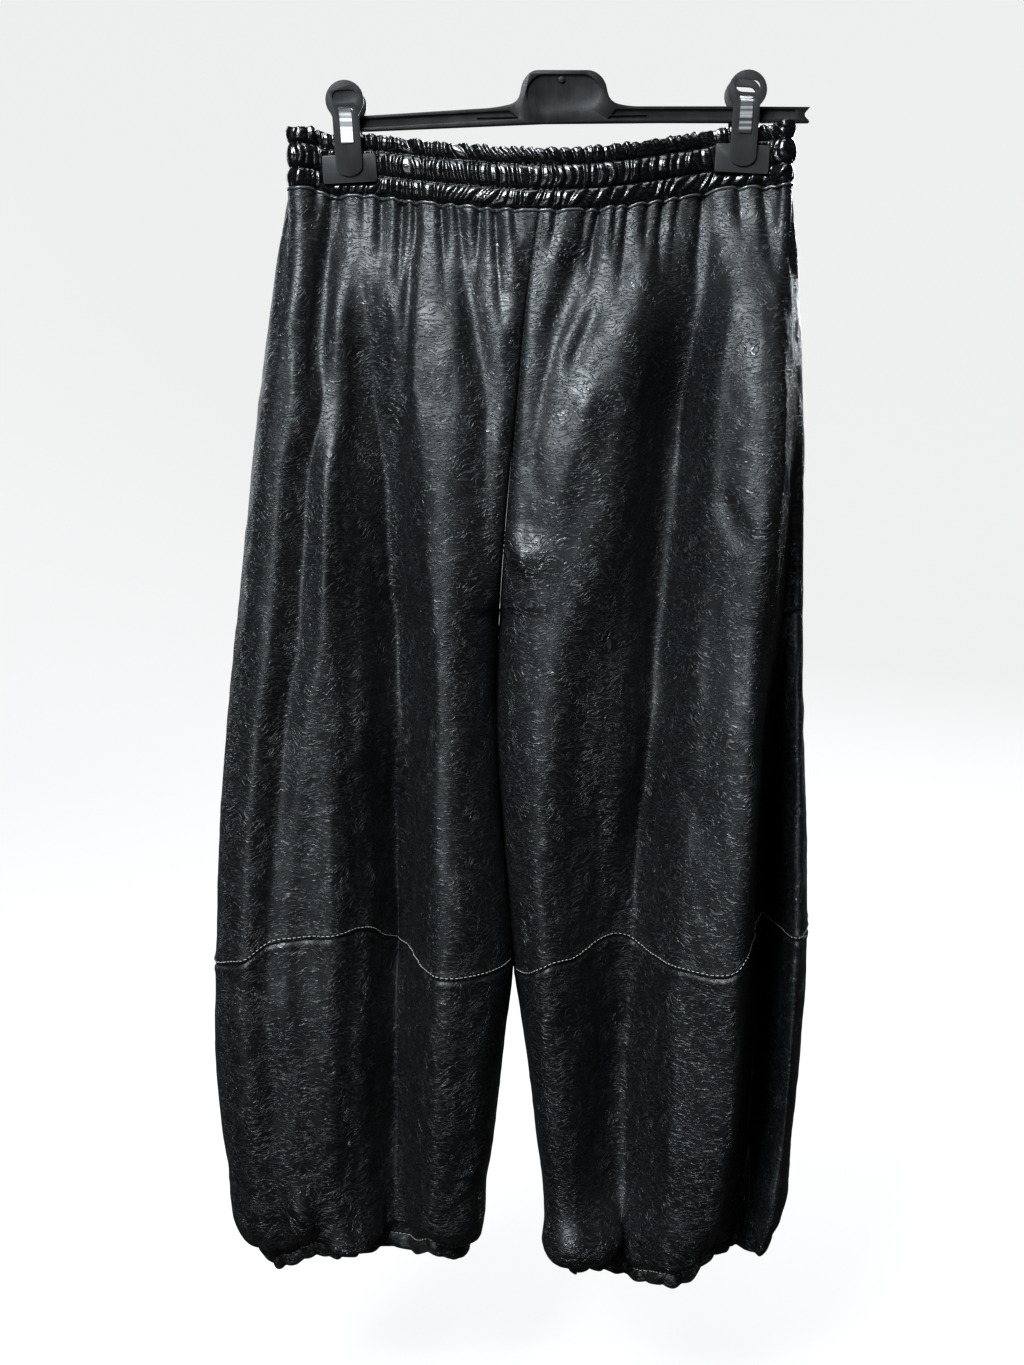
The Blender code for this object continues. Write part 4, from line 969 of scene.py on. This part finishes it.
def leather(name, gloss, grain, ground, stroke, specular=0.60):
    """Crinkle-grained faux leather: fine wavy strokes whose direction wanders, over a faint pebble."""
    n = Nodes(name)
    place = n.place()
    swirl = n.noise(place, 34.0, 1.5, output="Color")
    centred = n.add("ShaderNodeVectorMath", {0: swirl, 1: (0.5, 0.5, 0.5)}, operation="SUBTRACT").outputs[0]
    shift = n.add("ShaderNodeVectorMath", {0: centred, "Scale": 0.030}, operation="SCALE").outputs[0]
    warped = n.add("ShaderNodeVectorMath", {0: place, 1: shift}, operation="ADD").outputs[0]
    layers = []
    for turn, scale in ((0.25, (105.0, 105.0, 400.0)), (-0.65, (115.0, 115.0, 430.0))):
        wavy = n.noise(n.stretched(warped, scale, turn), 1.0, 1.0)
        off = n.maths("ABSOLUTE", n.maths("SUBTRACT", wavy, 0.5))
        layers.append(n.remap(off, 0.0, STROKE_WIDTH, 1.0, 0.0, "SMOOTHSTEP"))
    which = n.remap(n.noise(place, 52.0, 2.0), 0.44, 0.56, 0.0, 1.0)
    strokes = n.blend(layers[0], which, layers[1], n.maths("SUBTRACT", 1.0, which))
    patchy = n.remap(n.noise(place, 90.0, 4.0, 0.65), 0.32, 0.60, 0.25, 1.0)
    ridge = n.maths("MULTIPLY", strokes, patchy)
    pebble = n.add("ShaderNodeTexVoronoi", {"Vector": place, "Scale": 900.0}).outputs["Distance"]
    n.set("Base Color", n.ramp(ridge, ((0.0, cool(ground)), (1.0, cool(stroke)))))
    rough = n.remap(n.noise(place, 420.0, 2.0), 0.3, 0.7, gloss - 0.02, gloss + 0.06)
    rubbed = n.add("ShaderNodeAttribute", attribute_name="polish").outputs["Fac"]
    n.set("Roughness", n.maths("SUBTRACT", rough, n.blend(ridge, 0.24 * grain, rubbed, 0.18)))
    n.set("Specular IOR Level", specular)
    n.bump(n.blend(ridge, STROKE_HEIGHT * grain, pebble, PEBBLE_HEIGHT * grain))
    return n.material


def plastic(name, level, rough, specular):
    """Moulded plastic with a faint orange peel and rubbed patches."""
    n = Nodes(name)
    place = n.place()
    rubbed = n.noise(place, 60.0, 5.0, 0.6)
    peel = n.noise(place, 700.0, 1.0)
    scratch = n.noise(n.stretched(place, (900.0, 900.0, 45.0), 0.6), 1.0, 1.0)
    n.set("Base Color", n.ramp(rubbed, ((0.3, grey(level)), (0.75, grey(level * 1.8)))))
    n.set("Roughness", n.maths("ADD", n.blend(rubbed, 0.18, scratch, 0.12), rough - 0.15))
    n.set("Specular IOR Level", specular)
    n.bump(n.blend(peel, 0.00003, scratch, 0.00002))
    return n.material


def steel(name):
    """Sprung steel strip, brushed along its length, with painted reflections: bright and dark bands up its
    length.
    """
    n = Nodes(name)
    place = n.place()
    brushed = n.noise(n.stretched(place, (2400.0, 400.0, 60.0)), 1.0, 2.0)
    reflection_band_noise = n.noise(n.stretched(place, (1.0, 1.0, 190.0)), 1.0, 0.0)
    painted_reflection_bands = n.maths("ADD", reflection_band_noise, n.maths("MULTIPLY", brushed, 0.03))
    # Painted reflections: the colour runs from dark to bright in bands, standing in for the light caught
    # along the strip.
    n.set("Base Color", n.ramp(painted_reflection_bands, (
        (0.38, grey(0.16)), (0.44, grey(0.62)), (0.58, grey(0.88)), (0.66, grey(0.30)))))
    n.set("Metallic", 1.0)
    n.set("Roughness", n.maths("ADD", n.maths("MULTIPLY", brushed, 0.2), 0.28))
    n.bump(n.maths("MULTIPLY", brushed, 0.000008))
    return n.material


def thread(name, light, dark):
    """Twisted sewing thread."""
    n = Nodes(name)
    twist = n.noise(n.place(), 3200.0, 1.0)
    n.set("Base Color", n.ramp(twist, ((0.35, dark), (0.65, light))))
    n.set("Roughness", 0.75)
    n.bump(n.maths("MULTIPLY", twist, 0.00008))
    return n.material


LEATHER = leather("crinkle_leather", 0.47, 1.15, 0.0032, 0.0560)
BAND_LEATHER = leather("gathered_leather", 0.15, 0.10, 0.0025, 0.0200)
# The rolled edge's leather is painted far paler than the cloth's: a painted highlight along the panels' top
# edge.
ROLL_HIGHLIGHT_LEATHER = leather("rolled_edge_painted_highlight_leather", 0.24, 0.05, 0.0500, 0.0900, 1.0)
HANGER_PLASTIC = plastic("hanger_moulding", 0.009, 0.34, 0.30)
CLIP_RIGHT_PLASTIC = plastic("clip_right_moulding", 0.012, 0.46, 0.28)
CLIP_LEFT_PLASTIC = plastic("clip_left_moulding", 0.022, 0.34, 0.40)
STEEL = steel("spring_steel_strip")
PALE_THREAD = thread("off_white_thread", (0.62, 0.60, 0.56), (0.30, 0.29, 0.27))
DARK_THREAD = thread("black_thread", (0.012, 0.012, 0.013), (0.004, 0.004, 0.004))

# ---- who rides on what
Flat = namedtuple("Flat", "width length area")


def place_piece(piece, material):
    """Gives a piece its material, and lets it ride on the one body."""
    piece.data.materials.clear()
    piece.data.materials.append(material)
    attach(piece, "root")


for node, piece in panels.items():
    place_piece(piece, BAND_LEATHER if node == "waistband" else LEATHER)
    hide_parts(node)
for piece in threads.values():
    place_piece(piece, PALE_THREAD)
for piece in centre.values():
    place_piece(piece, DARK_THREAD)
# The rolled edges take the paler leather that carries the painted highlight.
for piece in edges.values():
    place_piece(piece, ROLL_HIGHLIGHT_LEATHER)


def softened(name, width):
    """A copy of a moulded piece with its sharp edges rounded, so that they catch the light."""
    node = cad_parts[name]
    data = node.data.copy()
    data.transform(node.matrix_world)
    mesh = bmesh.new()
    mesh.from_mesh(data)
    bmesh.ops.remove_doubles(mesh, verts=mesh.verts, dist=1e-6)
    bmesh.ops.dissolve_limit(mesh, angle_limit=math.radians(1.5), verts=mesh.verts, edges=mesh.edges)
    corner = math.radians(30)
    sharp = [edge for edge in mesh.edges if edge.is_manifold and edge.calc_face_angle() > corner]
    bmesh.ops.bevel(mesh, geom=sharp, offset=width, offset_type="OFFSET", segments=3, profile=0.5,
                    affect="EDGES", clamp_overlap=True)
    mesh.to_mesh(data)
    mesh.free()
    data.shade_smooth()
    data.set_sharp_from_angle(angle=math.radians(32))
    return new_object(f"{name}_softened", data)


def rib(start, end):
    """The thin moulded rib along the front of the bar, under the plate."""
    front = -BAR_HALF + 0.0001
    back = -BAR_HALF + 0.0030
    tall = 0.0004
    points = []
    for x, z in (start, end):
        points += [(x, back, z - tall), (x, front, z - tall * 0.6)]
        points += [(x, front, z + tall * 0.6), (x, back, z + tall)]
    faces = [(k, (k + 1) % 4, (k + 1) % 4 + 4, k + 4) for k in range(4)] + [(3, 2, 1, 0), (4, 5, 6, 7)]
    return mesh_object("bar_rib", points, faces, smooth=False)


for name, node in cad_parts.items():
    if name in panels:
        continue
    if name.endswith("spring"):
        for slot in node.material_slots:
            slot.material = STEEL
    elif name.startswith("clip"):
        moulded = CLIP_RIGHT_PLASTIC if name.startswith("clip_right") else CLIP_LEFT_PLASTIC
        piece = softened(name, 0.0008)
        place_piece(piece, moulded)
        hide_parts(name)
    else:
        piece = softened(name, 0.0005)
        place_piece(piece, HANGER_PLASTIC)
        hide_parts(name)
place_piece(rib((-0.0707, -0.0372), (0.0682, -0.0350)), HANGER_PLASTIC)


# ---- studio
def plain(name, level, glow):
    """A matt ground that glows a little, so that it stays pale where the lamps don't reach."""
    n = Nodes(name)
    place = n.place()
    cloudy = n.noise(place, 3.0, 2.0)
    n.set("Base Color", n.ramp(cloudy, ((0.3, grey(level)), (0.7, grey(level * 1.01)))))
    n.set("Roughness", 0.9)
    n.set("Specular IOR Level", 0.0)
    n.set("Emission Color", (1.0, 1.0, 1.0, 1.0))
    n.set("Emission Strength", glow)
    return n.material


def bowl():
    """A pale floor that curves up on all sides into a wall round the studio."""
    floor_z, radius, curve, around = -1.20, 3.4, 1.2, 96
    bend = np.linspace(0.0, np.pi / 2, 13)
    r = np.concatenate([0.35 * np.arange(1, 7), radius - curve + curve * np.sin(bend), [radius]])
    z = np.concatenate([np.full(6, floor_z), floor_z + curve * (1 - np.cos(bend)), [3.2]])
    turn = 2 * np.pi * np.arange(around) / around
    rings = [np.outer(r, np.cos(turn)), np.outer(r, np.sin(turn)), np.outer(z, np.ones(around))]
    points = np.concatenate([[(0.0, 0.0, floor_z)], np.stack(rings, axis=-1).reshape(-1, 3)])
    index = 1 + np.arange(len(r) * around).reshape(-1, around)
    after = np.roll(index, -1, axis=1)
    middle = np.stack([0 * index[0], index[0], after[0]], axis=1)
    quads = np.stack([index[:-1], index[1:], after[1:], after[:-1]], axis=-1).reshape(-1, 4)
    ground = mesh_object("floor_bowl", points, middle.tolist() + quads.tolist())
    ground.data.materials.append(plain("pale_floor", 0.16, 0.805))
    ground.visible_glossy = False
    ground.visible_diffuse = False
    ground.visible_shadow = False


def softbox(name, where, aim, size, watts):
    """A rectangular lamp of a size in metres, at one point and aimed at another."""
    data = bpy.data.lights.new(name, "AREA")
    data.shape = "RECTANGLE"
    data.size, data.size_y = size
    data.energy = watts
    data.color = (0.88, 0.95, 1.0)
    lamp = new_object(name, data)
    lamp.location = where
    lamp.visible_camera = False
    way = Vector(aim) - Vector(where)
    lamp.rotation_euler = way.to_track_quat("-Z", "Y").to_euler()


bowl()
softbox("key", (-0.88, -1.72, 1.05), (0.0, 0.0, -0.40), (0.9, 0.9), 124.0)
softbox("low", (-1.10, -1.90, -0.35), (0.0, 0.0, -0.75), (0.9, 0.7), 11.0)
softbox("top", (0.0, -0.60, 1.20), (0.0, 0.0, -0.15), (1.2, 0.5), 16.0)
softbox("back", (0.90, 2.10, 0.60), (0.0, 0.0, -0.50), (1.2, 1.4), 92.0)
softbox("back_fill", (-1.50, 1.60, 0.20), (0.0, 0.0, -0.50), (0.8, 1.4), 14.0)

world = bpy.data.worlds.new("studio")
bpy.context.scene.world = world
world.use_nodes = True
world.node_tree.nodes["Background"].inputs["Color"].default_value = (1.0, 1.0, 1.0, 1.0)
world.node_tree.nodes["Background"].inputs["Strength"].default_value = 0.045
bpy.context.scene.view_settings.view_transform = "Standard"
bpy.context.scene.view_settings.gamma = 0.84

camera_data = bpy.data.cameras.new("camera")
camera_data.sensor_width = 36.0
camera_data.lens = 46.63
CAMERA_TILT = 8.2  # degrees down
camera = new_object("camera", camera_data)
camera.location = (-0.04164, -1.5, -0.28828)
camera.rotation_euler = (math.radians(90.0 - CAMERA_TILT), 0.0, 0.0)
bpy.context.scene.camera = camera
